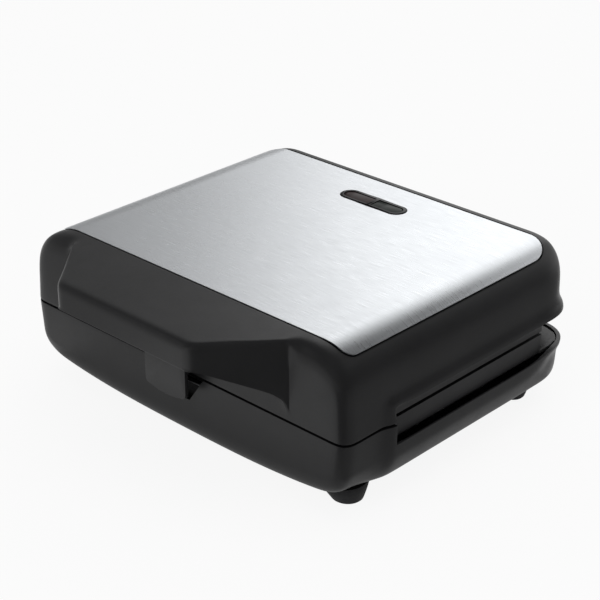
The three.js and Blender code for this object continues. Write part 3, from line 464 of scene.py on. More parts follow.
@dataclass
class ShellCage:
    """Lays out the skin of one housing half as a cage for subdivision.

    The right half of its front view is a chain of points: first rows that climb the side from the
    seam, then columns that cross the crown to the middle. Levels are counted away from the seam.
    """

    name: str
    way: int
    side_rows: Sequence[Point]
    crown_columns: Sequence[Point]
    straight_half: float
    gap_level: float
    lip_reach: float
    crown_height: float
    back_crown: Point
    crown_reach: float = 7.4
    level_rows: int = 6
    corner_relief: float = 0.0
    relief_start: float = 20.0
    relief_reach: float = 16.0
    wall: float = 3.2
    stations: Numbers = (13, 20, 27, 31.5, 35, 38, 42.5, 62, 90, 115, 140, 160, 171, 181)
    front_turns: Numbers = (90, 60, 30, 0)
    back_turns: Numbers = (22.5, 42, 56, 67.5, 78, 90)
    flare_hold: float = 0.35
    flare_fade: float = 7.0

    def __post_init__(self) -> None:
        """Works out the chain and the places along the depth."""
        self.chain = [*self.side_rows, *self.crown_columns]
        self.rows = len(self.side_rows) - 1
        self.columns = len(self.crown_columns)
        fronts = [FRONT_RADIUS * (1 - math.sin(math.radians(a))) for a in self.front_turns]
        backs = [BODY_DEPTH - BACK_RADIUS * (1 - math.sin(math.radians(a))) for a in self.back_turns]
        self.depths = [*fronts, *self.stations, *backs]

    def chain_at(self, k: int, y: float) -> Point:
        """Gives a point of the chain at a depth, here the same all along."""
        return self.chain[k]

    def rim_level(self, y: float) -> float:
        """Gives the level of the gap's edge at a depth, here the same all along."""
        return self.gap_level

    def flare_at(self, y: float) -> Point:
        """Gives how far the lip stands out and how far down it fades, here the same all along."""
        return self.lip_reach, self.flare_fade

    def _outward(self, k: int, y: float) -> Point:
        """Gives the outward direction at a point of the chain.

        Args:
            k: The point's place in the chain.
            y: Its depth.

        Returns:
            Its two parts, square to the chain.
        """
        if k <= self.level_rows:
            return 1.0, 0.0
        if k == len(self.chain) - 1:
            return 0.0, 1.0
        (x0, z0), (x1, z1) = self.chain_at(k - 1, y), self.chain_at(k + 1, y)
        length = math.hypot(x1 - x0, z1 - z0)
        return (z1 - z0) / length, (x0 - x1) / length

    def ring(self, k: int, y: float) -> Vector:
        """Gives a point of the skin on its right half.

        Args:
            k: The point's place in the chain.
            y: Its depth.

        Returns:
            The point, with its level counted away from the seam.
        """
        x, z = self.chain_at(k, y)
        out_x, out_z = self._outward(k, y)
        relief = 1 - self.corner_relief * smooth_step((z - self.relief_start) / self.relief_reach)
        back_drop = arc_drop(BODY_DEPTH - y, BACK_RADIUS, BACK_RADIUS) * relief
        side = max(arc_drop(y, FRONT_RADIUS, FRONT_RADIUS), back_drop)
        front_crown = arc_drop(y, self.crown_reach, self.crown_height)
        crown = max(front_crown, arc_drop(BODY_DEPTH - y, *self.back_crown))
        return Vector((x - out_x * side, y, z - out_z * crown))

    def flared(self, point: Vector) -> Vector:
        """Moves a point of the skin outwards where the lip of the open gap stands proud.

        Args:
            point: A point of the right half.

        Returns:
            The moved point.
        """
        lip, fade = self.flare_at(point.y)
        before, past = max(GAP_FRONT - point.y, 0), max(point.z - self.rim_level(point.y), 0)
        reach = lip * smooth_step(1 + self.flare_hold - math.hypot(before / self.flare_fade, past / fade))
        turn = math.asin(min(max((point.y - BODY_DEPTH + BACK_RADIUS) / BACK_RADIUS, 0), 1))
        if point.y > BODY_DEPTH - NEAR:
            turn = math.pi / 2
        return point + Vector((math.cos(turn), math.sin(turn), 0)) * reach

    def skin_point(self, column: int, row: int, y: float) -> Vector:
        """Gives the place of a point of the skin.

        Args:
            column: Columns from the middle, negative to the left.
            row: Rows from the seam.
            y: Its depth.

        Returns:
            Its place in the housing's frame.
        """
        across = abs(column)
        corner, side = self.ring(self.rows, y), self.ring(row, y)
        top = self.ring(len(self.chain) - 1 - across, y)
        if row == self.rows:
            point = top
        elif across == self.columns:
            point = side
        else:
            lean = max(0, (top.x - self.straight_half) / (corner.x - self.straight_half))
            point = Vector((top.x + (side.x - corner.x) * lean, y, side.z))
            if row > self.level_rows:
                base = self.chain_at(self.level_rows, y)[1]
                point.z = base + (side.z - base) / (corner.z - base) * (top.z - base)
        point = self.flared(point)
        return Vector((math.copysign(point.x, column) if column else 0.0, point.y, point.z * self.way))

    def _end_face(self, bm: BMesh, y: float) -> list:
        """Adds the front or back face as a grid of quads.

        Args:
            bm: The mesh to add to.
            y: Its depth.

        Returns:
            Its vertices.
        """
        grid = bmesh.ops.create_grid(bm, x_segments=2 * self.columns, y_segments=self.rows, size=1)["verts"]
        for vert in grid:
            vert[self.column] = round(vert.co.x * self.columns)
            vert[self.row] = round((vert.co.y + 1) / 2 * self.rows)
            vert.co = self.skin_point(vert[self.column], vert[self.row], y)
        return grid

    def _on_rim(self, vert: BMVert) -> bool:
        """Tells whether a vertex of an end face lies on the chain."""
        return abs(vert[self.column]) == self.columns or vert[self.row] == self.rows

    def _in_gap(self, middle: Vector) -> bool:
        """Tells whether a place lies in the open gap behind the front posts."""
        return middle.y > GAP_FRONT and middle.z * self.way < self.rim_level(middle.y)

    def skin(self) -> BMesh:
        """Builds the outer skin, open at the seam and at the gap round the sides and the back.

        Returns:
            The skin in housing millimetres.
        """
        bm = bmesh.new()
        self.column = bm.verts.layers.int.new("column")
        self.row = bm.verts.layers.int.new("row")
        rim = {v for v in self._end_face(bm, self.depths[0]) if self._on_rim(v)}
        open_edges = [e for e in bm.edges if len(e.link_faces) == 1 and any(v[self.row] for v in e.verts)]
        edges = [e for e in open_edges if all(v in rim for v in e.verts)]
        for y in self.depths[1:]:
            grown = bmesh.ops.extrude_edge_only(bm, edges=edges)["geom"]
            fresh = {v for v in grown if isinstance(v, BMVert)}
            for vert in fresh:
                vert.co = self.skin_point(vert[self.column], vert[self.row], y)
            edges = [e for e in bm.edges if all(v in fresh for v in e.verts)]
        self._end_face(bm, self.depths[-1])
        bmesh.ops.remove_doubles(bm, verts=bm.verts, dist=NEAR)
        bmesh.ops.recalc_face_normals(bm, faces=bm.faces)
        gap = [f for f in bm.faces if self._in_gap(f.calc_center_median())]
        bmesh.ops.delete(bm, geom=gap, context="FACES")
        return bm

    def walled(self) -> Object:
        """Builds the skin and gives it its wall, on the inside.

        Returns:
            The cage as an object.
        """
        piece = made(self.name, self.skin())
        wall = piece.modifiers.new("wall", "SOLIDIFY")
        wall.thickness = self.wall * MM
        wall.offset = -1
        wall.use_even_offset = True
        return settled(piece)


@dataclass
class LidHousing:
    """The lid's shell with the handle's hood in one moulding."""

    width_at_shoulder: float = 126.0
    shoulder: Sequence[Point] = ((126.0, 22.0), (126.0, 38.05), (115.55, 49.2), (98.5, 49.2))
    shoulder_shares: Numbers = (0.2, 0.4, 0.6, 0.8, 1)
    side_levels: Numbers = (SEAM, 4.4, 9.5, 12.2, 15, 18.5, 22)
    straight_half: float = 92.5
    root_half: float = 87.2
    inner_half: float = 83.3
    crown_places: Numbers = (76, 62, 46, 30, 15, 0)
    hood_side: float = 3.2
    hood_slope: float = 0.855
    root_top: float = 46.2
    edge_front: float = 42.9
    edge_root: float = 44.6
    foot_level: float = 4.4
    hood_ceiling: float = 46.2
    flank: Sequence[Point] = ((0, 4.4), (1.6, 12.2), (6, 17.4), (37, 33), (40, 33))
    low_steps: Numbers = (1.6, 6, 14, 24, 32, 37, 40)
    face_steps: Numbers = (1.6, 6, 14, 24, 31, 35, 40)
    top_steps: Numbers = (1.6, 6, 13, 21, 28, 33.5, 40)
    corner_soft: float = 6.5
    soft_from: int = 3
    hood_crease: float = 0.8
    gap_crease: float = 0.7
    gap_corner_crease: float = 0.2
    gap_edge_top: float = 15.0
    gap_corner: float = 5.0
    ear_low: Numbers = (17.1, -13.2, 21)
    ear_high: Numbers = (20.1, 1.4, 47)

    def cage(self) -> ShellCage:
        """Gives the lid's cage.

        Returns:
            The cage, with its front edge left square where the hood starts.
        """
        lean = (HALF_WIDTH - self.width_at_shoulder) / self.shoulder[0][1]
        straight = [(HALF_WIDTH - lean * z, z) for z in self.side_levels]
        curve = [bezier(self.shoulder, share) for share in self.shoulder_shares]
        places = (self.straight_half, self.root_half, self.inner_half, *self.crown_places)
        return HoodedCage(
            name="lid_moulding",
            way=1,
            side_rows=[*straight, *curve[:3]],
            crown_columns=[*curve[3:], *((x, LID_HEIGHT) for x in places)],
            straight_half=self.straight_half,
            gap_level=9.5,
            lip_reach=2.6,
            flare_fade=5.5,
            crown_height=10.0,
            back_crown=(6.2, 8.4),
            corner_relief=0.3,
            hood=self,
        )

    def hood_place(self, x: float, z: float, step: int) -> Vector:
        """Gives where a point of the hood's root goes at a step forwards.

        Args:
            x: The root point's place across.
            z: Its level at the root.
            step: Which step.

        Returns:
            The new place.
        """
        on_top, above_foot = z > self.root_top + NEAR, z > self.foot_level + NEAR
        y = self.face_steps[step]
        if on_top:
            y = self.top_steps[step]
        elif not above_foot:
            y = self.low_steps[step]
        half = self.root_half - self.hood_slope * y
        inner = half - (self.corner_soft if above_foot and step >= self.soft_from else self.hood_side)
        outer = abs(abs(x) - self.root_half) < NEAR
        across = half if outer else abs(x) / self.inner_half * inner
        level = z
        if not on_top:
            edge = self.edge_root + (self.edge_front - self.edge_root) * y / self.low_steps[-1]
            low = level_at(self.flank, y)
            level = low + (z - self.foot_level) / (self.root_top - self.foot_level) * (edge - low)
        return Vector((math.copysign(across, x), -y, level))

    @staticmethod
    def _grown(bm: BMesh, region: list) -> tuple[list, list]:
        """Extrudes faces of a closed mesh and takes the old ones away.

        Args:
            bm: The mesh.
            region: The faces.

        Returns:
            The new faces and their vertices.
        """
        grown = bmesh.ops.extrude_face_region(bm, geom=region)["geom"]
        bmesh.ops.delete(bm, geom=region, context="FACES")
        faces = [f for f in grown if isinstance(f, BMFace)]
        return faces, [v for v in grown if isinstance(v, BMVert)]

    def _at_root(self, point: Vector) -> bool:
        """Tells whether a place lies on the front face where the hood starts."""
        high_enough = point.z > self.foot_level - NEAR
        return abs(point.x) < self.root_half + NEAR and abs(point.y) < NEAR and high_enough

    def _on_root_line(self, point: Vector) -> bool:
        """Tells whether a place lies where the hood's flanks meet the front face."""
        low_enough = self.foot_level - NEAR < point.z < self.root_top - NEAR
        return abs(abs(point.x) - self.root_half) < NEAR and abs(point.y) < NEAR and low_enough

    def add_hood(self, bm: BMesh) -> None:
        """Grows the hood from the front face and hollows it from below.

        Args:
            bm: The walled cage.
        """
        root_x, root_z = bm.verts.layers.float.new("root_x"), bm.verts.layers.float.new("root_z")
        for vert in bm.verts:
            vert[root_x], vert[root_z] = vert.co.x, vert.co.z
        region = [f for f in bm.faces if all(self._at_root(v.co) for v in f.verts)]
        for step in range(len(self.low_steps)):
            region, fresh = self._grown(bm, region)
            for vert in fresh:
                vert.co = self.hood_place(vert[root_x], vert[root_z], step)
        low = {v for v in bm.verts if abs(v[root_z] - self.foot_level) < NEAR}
        inside = {v for v in low if abs(v[root_x]) < self.inner_half + NEAR}
        hollow = {v for v in inside if -self.low_steps[-2] - NEAR < v.co.y < NEAR}
        for vert in self._grown(bm, [f for f in bm.faces if all(v in hollow for v in f.verts)])[1]:
            vert.co.z = self.hood_ceiling

    def crease(self, bm: BMesh) -> None:
        """Keeps the lid's seam, gap and hollow edges crisp.

        Args:
            bm: The cage with its hood.
        """
        layer = creases(bm)
        for edge in sharp_edges(bm, CREASE_ANGLE):
            middle = (edge.verts[0].co + edge.verts[1].co) / 2
            if all(v.co.y < NEAR and v.co.z > self.foot_level - NEAR for v in edge.verts):
                flat_top = all(v.co.z > self.edge_front - NEAR for v in edge.verts)
                low = all(v.co.z < self.hood_ceiling + NEAR for v in edge.verts)
                edge[layer] = 0.0 if flat_top and not low else self.hood_crease
            elif middle.z < EDGE_ROOM:
                edge[layer] = SEAM_CREASE
            elif middle.z < self.gap_edge_top and middle.y > GAP_FRONT - EDGE_ROOM:
                at_corner = middle.z > self.gap_corner and middle.y < GAP_FRONT + self.gap_corner
                edge[layer] = self.gap_corner_crease if at_corner else self.gap_crease
        for edge in bm.edges:
            if all(self._on_root_line(v.co) for v in edge.verts):
                edge[layer] = self.hood_crease

    def ears(self) -> Object:
        """Makes the two ears under the hood that carry the latch pin.

        Returns:
            The solid that joins the lid.
        """
        bm = bmesh.new()
        (inner, *low), (outer, *high) = self.ear_low, self.ear_high
        for left, right in ((-outer, -inner), (inner, outer)):
            block(bm, (left, *low), (right, *high))
        return made("ear_tool", bm)

    def build(self) -> Object:
        """Makes the lid's moulding, still without the recess for the top panel."""
        piece = reworked(self.cage().walled(), self.add_hood, self.crease)
        return combined(smoothed(piece), self.ears(), "UNION")


@dataclass
class HoodedCage(ShellCage):
    """A lid's cage whose front edge stays square over the width of the hood."""

    hood: LidHousing | None = None

    def skin_point(self, column: int, row: int, y: float) -> Vector:
        """Gives a point of the skin, squared up where the hood's top carries on from the lid's.

        Args:
            column: Columns from the middle, negative to the left.
            row: Rows from the seam.
            y: Its depth.

        Returns:
            Its place in the housing's frame.
        """
        point = super().skin_point(column, row, y)
        if abs(point.x) > self.hood.root_half + NEAR or y > FRONT_RADIUS - NEAR:
            return point
        if row < self.rows:
            if y < NEAR and row > self.level_rows:
                share = (row - self.level_rows) / (self.rows - self.level_rows)
                base = self.side_rows[self.level_rows][1]
                point.z = base + (self.hood.root_top - base) * share
        elif y < NEAR:
            point.z = self.hood.root_top
        else:
            point.y = 0.0 if y < self.depths[1] + NEAR else point.y
            point.z = LID_HEIGHT
        return point


@dataclass
class BowedCage(ShellCage):
    """A base's cage, whose sides grow fuller behind the front and whose rim lies lower along them."""

    full_chain: Sequence[Point] = ()
    fill_start: float = 8.0
    fill_reach: float = 34.0
    rim_drop: float = 2.5
    drop_start: float = 29.0
    drop_reach: float = 6.0
    rise_start: float = 166.0
    rise_reach: float = 11.0
    row_shares: Numbers = (0, 0.4, 1, 0.72, 0.56, 0.32, 0.16)
    side_fade: float = 17.0
    back_fade: float = 5.0
    back_reach: float = 2.0

    def filled_share(self, y: float) -> float:
        """Gives how far the sides have grown to their full form at a depth."""
        return smooth_step((y - self.fill_start) / self.fill_reach)

    def risen(self, y: float) -> float:
        """Gives how far the rim has risen to its level at the back, as a share."""
        return smooth_step((y - self.rise_start) / self.rise_reach)

    def drop(self, y: float) -> float:
        """Gives how far the rim lies below its level at the back."""
        return self.rim_drop * smooth_step((y - self.drop_start) / self.drop_reach) * (1 - self.risen(y))

    def rim_level(self, y: float) -> float:
        """Gives the level of the rim at a depth."""
        return self.gap_level + self.drop(y)

    def flare_at(self, y: float) -> Point:
        """Gives the rim's reach and fade: long and soft at the sides, short at the back."""
        reach = self.lip_reach + (self.back_reach - self.lip_reach) * self.risen(y)
        return reach, self.side_fade + (self.back_fade - self.side_fade) * self.risen(y)

    def chain_at(self, k: int, y: float) -> Point:
        """Gives a point of the chain between its front form and its full one.

        Args:
            k: The point's place in the chain.
            y: Its depth.

        Returns:
            The point.
        """
        share = self.filled_share(y)
        (x, z), (full_x, full_z) = self.chain[k], self.full_chain[k]
        drop = self.drop(y) * self.row_shares[k] if k < len(self.row_shares) else 0.0
        return x + (full_x - x) * share, z + (full_z - z) * share + drop

    def _outward(self, k: int, y: float) -> Point:
        """Gives the outward direction, which turns gently across the full chain's squarer corner.

        Args:
            k: The point's place in the chain.
            y: Its depth.

        Returns:
            Its two parts.
        """
        out_x, out_z = super()._outward(k, y)
        if k <= self.level_rows:
            return out_x, out_z
        share, (x, z) = self.filled_share(y), self.full_chain[k]
        full_x, full_z = (x / self.full_chain[0][0]) ** 3, (z / self.full_chain[-1][1]) ** 3
        return out_x + (full_x - out_x) * share, out_z + (full_z - out_z) * share


@dataclass
class BaseHousing:
    """The base's shell with its catch pocket, screw wells and cord hole."""

    rows: Numbers = (SEAM, 5.5, 10.5, 13, 15.6, 19, 22)
    width_at_corner: float = 125.4
    width_when_full: float = 126.9
    corner_start: float = 22.0
    corner: Sequence[Point] = ((125.4, 22.0), (124.2, 30.6), (117.8, 35.8), (107.0, 37.5))
    full_corner: Sequence[Point] = ((126.8, 22.4), (127.2, 33.0), (125.5, 39.4), (108.0, 40.2))
    corner_shares: Numbers = (0.3, 0.55, 0.8, 1)
    crown_places: Numbers = (98, 86, 68, 48, 28, 12, 0)
    floor: float = 42.7
    sags: Point = (5.2, 2.6)
    sag_half: float = 107.0
    wall: float = 2.6
    rim_edge: float = 0.9
    rim_band: float = 0.6
    lip_outside: float = 1.5
    rim_crease: float = 0.65
    well_places: Sequence[Point] = ((-60, 15.6), (60, 15.6), (-60, 186), (60, 186))
    well_radius: float = 3.3
    well_seat: float = -35.3
    well_end: float = -60.0
    boss_radius: float = 4.6
    boss_top: float = -27.3
    boss_end: float = -40.5
    gland_place: Numbers = (60.0, BODY_DEPTH, -23.5)
    gland_radius: float = 6.5
    gland_reach: float = 8.0
    gland_steps: int = 48
    pocket_top: float = 21.0
    pocket_low: float = 9.3
    pocket_height: float = 17.5
    pocket_depth: float = 4.6
    pocket_wall: float = 2.0
    pocket_front: float = 0.6
    pocket_clear: float = 5.0
    pocket_room: float = 1.0
    backing_drop: float = 0.02

    def cage(self) -> ShellCage:
        """Gives the base's cage.

        Returns:
            The cage.
        """
        chains = []
        widths, corners = (self.width_at_corner, self.width_when_full), (self.corner, self.full_corner)
        for width, corner, sag in zip(widths, corners, self.sags):
            flat = [(x, self.floor - sag * (x / self.sag_half) ** 3) for x in self.crown_places]
            lean = (HALF_WIDTH - width) / self.corner_start
            straight = [(HALF_WIDTH - lean * z, z) for z in self.rows]
            chains.append([*straight, *(bezier(corner, share) for share in self.corner_shares), *flat])
        side = len(self.rows) + 2
        return BowedCage(
            name="base_moulding",
            way=-1,
            side_rows=chains[0][:side],
            crown_columns=chains[0][side:],
            full_chain=chains[1],
            wall=self.wall,
            straight_half=86.0,
            gap_level=10.5,
            lip_reach=BASE_LIP_REACH,
            crown_height=11.0,
            back_crown=(7.4, 11.0),
        )

    def pocket(self, margin: float, top: float, y0: float, y1: float) -> Object:
        """Makes the solid of the catch pocket, wide at the seam and narrow below.

        Args:
            margin: How much larger it is all round.
            top: Its top level.
            y0: Its front.
            y1: Its back.

        Returns:
            The solid.
        """
        slope = (self.pocket_top - self.pocket_low) / (self.pocket_height - SEAM)
        wide = self.pocket_top + margin + (top + SEAM) * slope
        bm = bmesh.new()
        for vert in block(bm, (-1, y0, -self.pocket_height - margin), (1, y1, top)):
            vert.co.x *= wide if vert.co.z > top - NEAR else self.pocket_low + margin
        return made("pocket_tool", bm)

    def in_painted_shade(self, polygon: MeshPolygon) -> bool:
        """Tells whether a face lies at the seam or inside the catch pocket, where painted shade goes.

        Args:
            polygon: The face.

        Returns:
            Whether it does.
        """
        middle = housing(polygon.center)
        behind_front = SEAM_ROOM < middle.y < self.pocket_depth + NEAR
        inside = behind_front and abs(middle.x) < self.pocket_top + self.pocket_room
        return at_seam(polygon) or (inside and -self.pocket_height - NEAR < middle.z < 0)

    def rods(self, radius: float, low: float, high: float) -> Object:
        """Makes upright rods that become bosses or wells.

        Args:
            radius: Their radius.
            low: Their lower end.
            high: Their upper end.

        Returns:
            The solid.
        """
        bm = bmesh.new()
        for x, y in self.well_places:
            rod(bm, radius, Vector((x, y, low)), Vector((x, y, high)))
        return made("rod_tool", bm)

    def cord_hole(self) -> Object:
        """Makes the solid that cuts the cord's hole through the back wall.

        Returns:
            The solid.
        """
        bm = bmesh.new()
        middle, reach = Vector(self.gland_place), Vector((0, self.gland_reach, 0))
        rod(bm, self.gland_radius, middle - reach, middle + reach, self.gland_steps)
        return made("hole_tool", bm)

    def shape_rim(self, bm: BMesh) -> None:
        """Keeps the base's edges crisp and thins its rim along the sides.

        Args:
            bm: The base's walled cage.
        """
        cage, layer = self.cage(), creases(bm)
        for edge in sharp_edges(bm, CREASE_ANGLE):
            at_top = (edge.verts[0].co.z + edge.verts[1].co.z) / 2 > -EDGE_ROOM
            edge[layer] = SEAM_CREASE if at_top else self.rim_crease
        for place in (v.co for v in bm.verts):
            level = place.z + cage.rim_level(place.y)
            in_band = place.y > GAP_FRONT + EDGE_ROOM and abs(level) < self.rim_band
            if in_band and abs(place.x) < HALF_WIDTH + cage.flare_at(place.y)[0] - self.lip_outside:
                thinned = (self.wall - self.rim_edge) * (1 - cage.risen(place.y))
                place.x += math.copysign(thinned, place.x)

    def build(self) -> Object:
        """Makes the base's moulding.

        Returns:
            The piece.
        """
        piece = smoothed(reworked(self.cage().walled(), self.shape_rim))
        backing, backing_top = self.pocket_depth + self.pocket_wall, -SEAM - self.backing_drop
        steps = (
            (self.pocket(self.pocket_wall, backing_top, self.pocket_front, backing), "UNION"),
            (self.pocket(0, self.pocket_clear, -self.pocket_clear, self.pocket_depth), "DIFFERENCE"),
            (self.rods(self.boss_radius, self.boss_end, self.boss_top), "UNION"),
            (self.rods(self.well_radius, self.well_end, self.well_seat), "DIFFERENCE"),
            (self.cord_hole(), "DIFFERENCE"),
        )
        for tool, operation in steps:
            combined(piece, tool, operation)
        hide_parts("base_shell")
        return shaded(piece)


@dataclass
class TopPanel:
    """The brushed sheet that wraps over the lid's top."""

    half: float = 116.0
    front: float = 14.0
    back: float = 193.3
    corner_radii: Point = (7.0, 19.0)
    corner_steps: int = 12
    thickness: float = 0.8
    gap: float = 1.15
    recess: float = 2.3
    edge: float = 0.22
    bend_steps: int = 22
    curve_steps: int = 60
    above: float = 4.0
    hold: float = 0.5
    ease: float = 0.15
    edge_steps: int = 3
    shade_angle: float = 24.0

    def __post_init__(self) -> None:
        """Measures the lid's shoulder along its curve."""
        ends = LidHousing().shoulder
        points = [bezier(ends, 1 - i / self.curve_steps) for i in range(self.curve_steps + 1)]
        self.flat = points[0][0]
        lengths = [0.0]
        for (x0, z0), (x1, z1) in zip(points, points[1:]):
            lengths.append(lengths[-1] + math.hypot(x1 - x0, z1 - z0))
        self.across = list(zip(lengths, (p[0] for p in points)))
        self.levels = list(zip(lengths, (p[1] for p in points)))
        self.unrolled = self.flat + next(s for s, x in self.across if x >= self.half)

    def bent(self, point: Vector) -> Vector:
        """Wraps a point of the flat sheet over the lid's shoulders.

        Args:
            point: A point of the flat sheet, its level counted from the lid's surface.

        Returns:
            The place in the housing's frame.
        """
        past = abs(point.x) - self.flat
        if past <= 0:
            return Vector((point.x, point.y, LID_HEIGHT + point.z))
        x, z = level_at(self.across, past), level_at(self.levels, past)
        ahead_x, ahead_z = level_at(self.across, past + self.hold), level_at(self.levels, past + self.hold)
        run, fall = ahead_x - x, z - ahead_z
        length = math.hypot(run, fall)
        out = Vector((fall / length, run / length))
        return Vector((math.copysign(x + out.x * point.z, point.x), point.y, z + out.y * point.z))

    def sheet(self, margin: float, low: float, high: float) -> BMesh:
        """Builds the sheet flat, from a rounded outline.

        Args:
            margin: How much larger it is all round.
            low: Its underside, from the lid's surface.
            high: Its upper side.

        Returns:
            The flat sheet.
        """
        bm = bmesh.new()
        middle, half_depth = (self.front + self.back) / 2, (self.back - self.front) / 2 + margin
        bmesh.ops.create_grid(bm, x_segments=1, y_segments=1, size=1)
        for vert in bm.verts:
            vert.co = Vector((vert.co.x * (self.unrolled + margin), middle + vert.co.y * half_depth, low))
        for at_front, radius in zip((True, False), self.corner_radii):
            corners = [v for v in bm.verts if (v.co.y < middle) == at_front]
            bevelled(bm, corners, radius + margin, self.corner_steps, "VERTICES")
        return raised(bm, high)

    def wrapped(self, bm: BMesh) -> BMesh:
        """Cuts the flat sheet into strips over the shoulders and wraps it.

        Args:
            bm: The flat sheet.

        Returns:
            The same mesh.
        """
        flow = bm.loops.layers.uv.new("flow")
        for side in (-1, 1):
            for step in range(self.bend_steps):
                split(bm, side * (self.flat + (self.unrolled - self.flat) * step / self.bend_steps))
        for face in bm.faces:
            for loop in face.loops:
                loop[flow].uv = (loop.vert.co.x * MM, loop.vert.co.y * MM)
        for vert in bm.verts:
            vert.co = self.bent(vert.co)
        return bm

    def cutter(self) -> Object:
        """Makes the solid that cuts the lid's recess for the sheet."""
        return made("recess_tool", self.wrapped(self.sheet(self.gap, -self.recess, self.above)))

    def build(self, hole: Object) -> Object:
        """Makes the sheet with its window hole.

        Args:
            hole: The solid that cuts the hole.

        Returns:
            The piece.
        """
        bm = self.sheet(0, -self.thickness, 0)
        rounded_top(bm, 0, self.edge, self.edge_steps)
        top = [f for f in bm.faces if all(abs(v.co.z) < NEAR for v in f.verts)]
        bmesh.ops.inset_region(bm, faces=top, thickness=self.ease, use_even_offset=True)
        piece = made("brushed_sheet", self.wrapped(bm))
        combined(piece, hole, "DIFFERENCE")
        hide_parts("top_panel")
        return shaded(piece, self.shade_angle)


@dataclass
class PilotWindow:
    """The glossy bezel near the panel's back with its two smoked lenses."""

    middle: float = 165.8
    length: float = 50.4
    width: float = 14.4
    fit: float = 0.3
    proud: float = 0.4
    depth: float = 4.4
    hole_depth: float = 20.0
    hole_rise: float = 5.0
    seat_depth: float = 3.0
    seat_rise: float = 2.0
    rim: float = 2.8
    rim_round: float = 0.9
    divider: float = 3.0
    lens_depth: float = 2.6
    lens_sink: float = 0.3
    lens_dome: float = 0.5
    round_steps: int = 4
    steps: int = 14
    shade_angle: float = 28.0

    def stadium(self, margin: float, low: float, high: float) -> BMesh:
        """Builds a solid with two round ends.

        Args:
            margin: How much larger than the window it is all round.
            low: Its underside.
            high: Its upper side.

        Returns:
            The solid, in the housing's frame.
        """
        bm = bmesh.new()
        radius = self.width / 2 + margin
        reach = self.length / 2 + margin - radius
        bmesh.ops.create_circle(bm, cap_ends=True, segments=4 * self.steps, radius=radius)
        split(bm, 0)
        middle = [e for e in bm.edges if all(abs(v.co.x) < NEAR for v in e.verts)]
        bmesh.ops.dissolve_edges(bm, edges=middle, use_verts=False)
        for vert in bm.verts:
            if abs(vert.co.x) > NEAR:
                vert.co.x += math.copysign(reach, vert.co.x)
            vert.co.y += self.middle
            vert.co.z = low
        return raised(bm, high)

    def hole(self) -> Object:
        """Makes the solid that cuts the window's hole."""
        low, high = LID_HEIGHT - self.hole_depth, LID_HEIGHT + self.hole_rise
        return made("window_tool", self.stadium(0, low, high))

    def lens_form(self, side: int, margin: float, low: float, high: float) -> BMesh:
        """Builds one lens: round at its outer end, straight at the divider.

        Args:
            side: -1 for the left lens, 1 for the right one.
            margin: How much larger it is all round.
            low: Its underside.
            high: Its upper side.

        Returns:
            The solid.
        """
        bm = self.stadium(margin - self.rim, low, high)
        split(bm, side * (self.divider / 2 - margin), -side, True)
        filled(bm)
        return bm

    def bezel(self) -> Object:
        """Makes the bezel.

        Returns:
            The piece.
        """
        top = LID_HEIGHT + self.proud
        bm = self.stadium(-self.fit, LID_HEIGHT - self.depth, top)
        rounded_top(bm, top, self.rim_round, self.round_steps)
        piece = made("window_bezel", bm)
        for side in (-1, 1):
            seat = self.lens_form(side, self.fit, LID_HEIGHT - self.seat_depth, top + self.seat_rise)
            combined(piece, made("lens_tool", seat), "DIFFERENCE")
        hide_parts("pilot_bezel")
        return shaded(piece, self.shade_angle)

    def lens(self, side: int, name: str, node: str) -> Object:
        """Makes one lens with a softly rounded face.

        Args:
            side: -1 for the left lens, 1 for the right one.
            name: The piece's name.
            node: The CAD node it stands for.

        Returns:
            The piece.
        """
        top = LID_HEIGHT + self.proud - self.lens_sink
        bm = self.lens_form(side, 0, LID_HEIGHT - self.lens_depth, top)
        rounded_top(bm, top, self.lens_dome, self.round_steps)
        piece = made(name, bm)
        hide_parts(node)
        return shaded(piece, self.shade_angle)


@dataclass
class Feet:
    """The four tapered rubber feet."""

    places: Sequence[tuple[str, float, float]] = (
        ("foot_front_left", -104, 25),
        ("foot_front_right", 104, 25),
        ("foot_rear_left", -104, 178),
        ("foot_rear_right", 104, 178),
    )
    floor: float = -51.0
    steps: int = 40
    front_trim: float = 0.2
    front_lean: float = 1.75
    front_widths: Numbers = (0, 6.9, 8.2, 9.0, 9.5, 11.8, 13.6, 13.6)
    front_levels: Numbers = (0, 0, 0.25, 0.9, 1.8, 6.5, 10.6, 12.6)
    rear_widths: Numbers = (0, 5.6, 6.8, 7.4, 7.8, 11.4, 11.4)
    rear_levels: Numbers = (0, 0, 0.25, 0.9, 1.8, 12.4, 13.4)

    def build(self, name: str, x: float, y: float) -> Object:
        """Makes one foot.

        Args:
            name: The CAD node it stands for.
            x: Its place across.
            y: Its place along the depth.

        Returns:
            The piece.
        """
        at_front = y < BODY_DEPTH / 2
        widths = self.front_widths if at_front else self.rear_widths
        levels = self.front_levels if at_front else self.rear_levels
        bm = bmesh.new()
        verts = [bm.verts.new((width, 0, level)) for width, level in zip(widths, levels)]
        geom = [*verts, *(bm.edges.new(pair) for pair in zip(verts, verts[1:]))]
        turn = {"cent": (0, 0, 0), "axis": (0, 0, 1), "angle": math.tau, "steps": self.steps}
        bmesh.ops.spin(bm, geom=geom, use_merge=True, **turn)
        bmesh.ops.remove_doubles(bm, verts=bm.verts, dist=NEAR)
        filled(bm)
        for vert in bm.verts:
            ahead = max(-vert.co.y, 0) / max(math.hypot(vert.co.x, vert.co.y), NEAR) if x < 0 else 0
            kept = 1 - self.front_trim * ahead * vert.co.z / levels[-1]
            lean = self.front_lean * (1 - vert.co.z / levels[-1]) if at_front else 0
            vert.co.x = vert.co.x * kept + math.copysign(lean, x)
            vert.co.y = vert.co.y * kept + lean
        bmesh.ops.translate(bm, verts=bm.verts, vec=(x, y, self.floor))
        piece = made(f"{name}_dressed", bm)
        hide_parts(name)
        return shaded(piece)


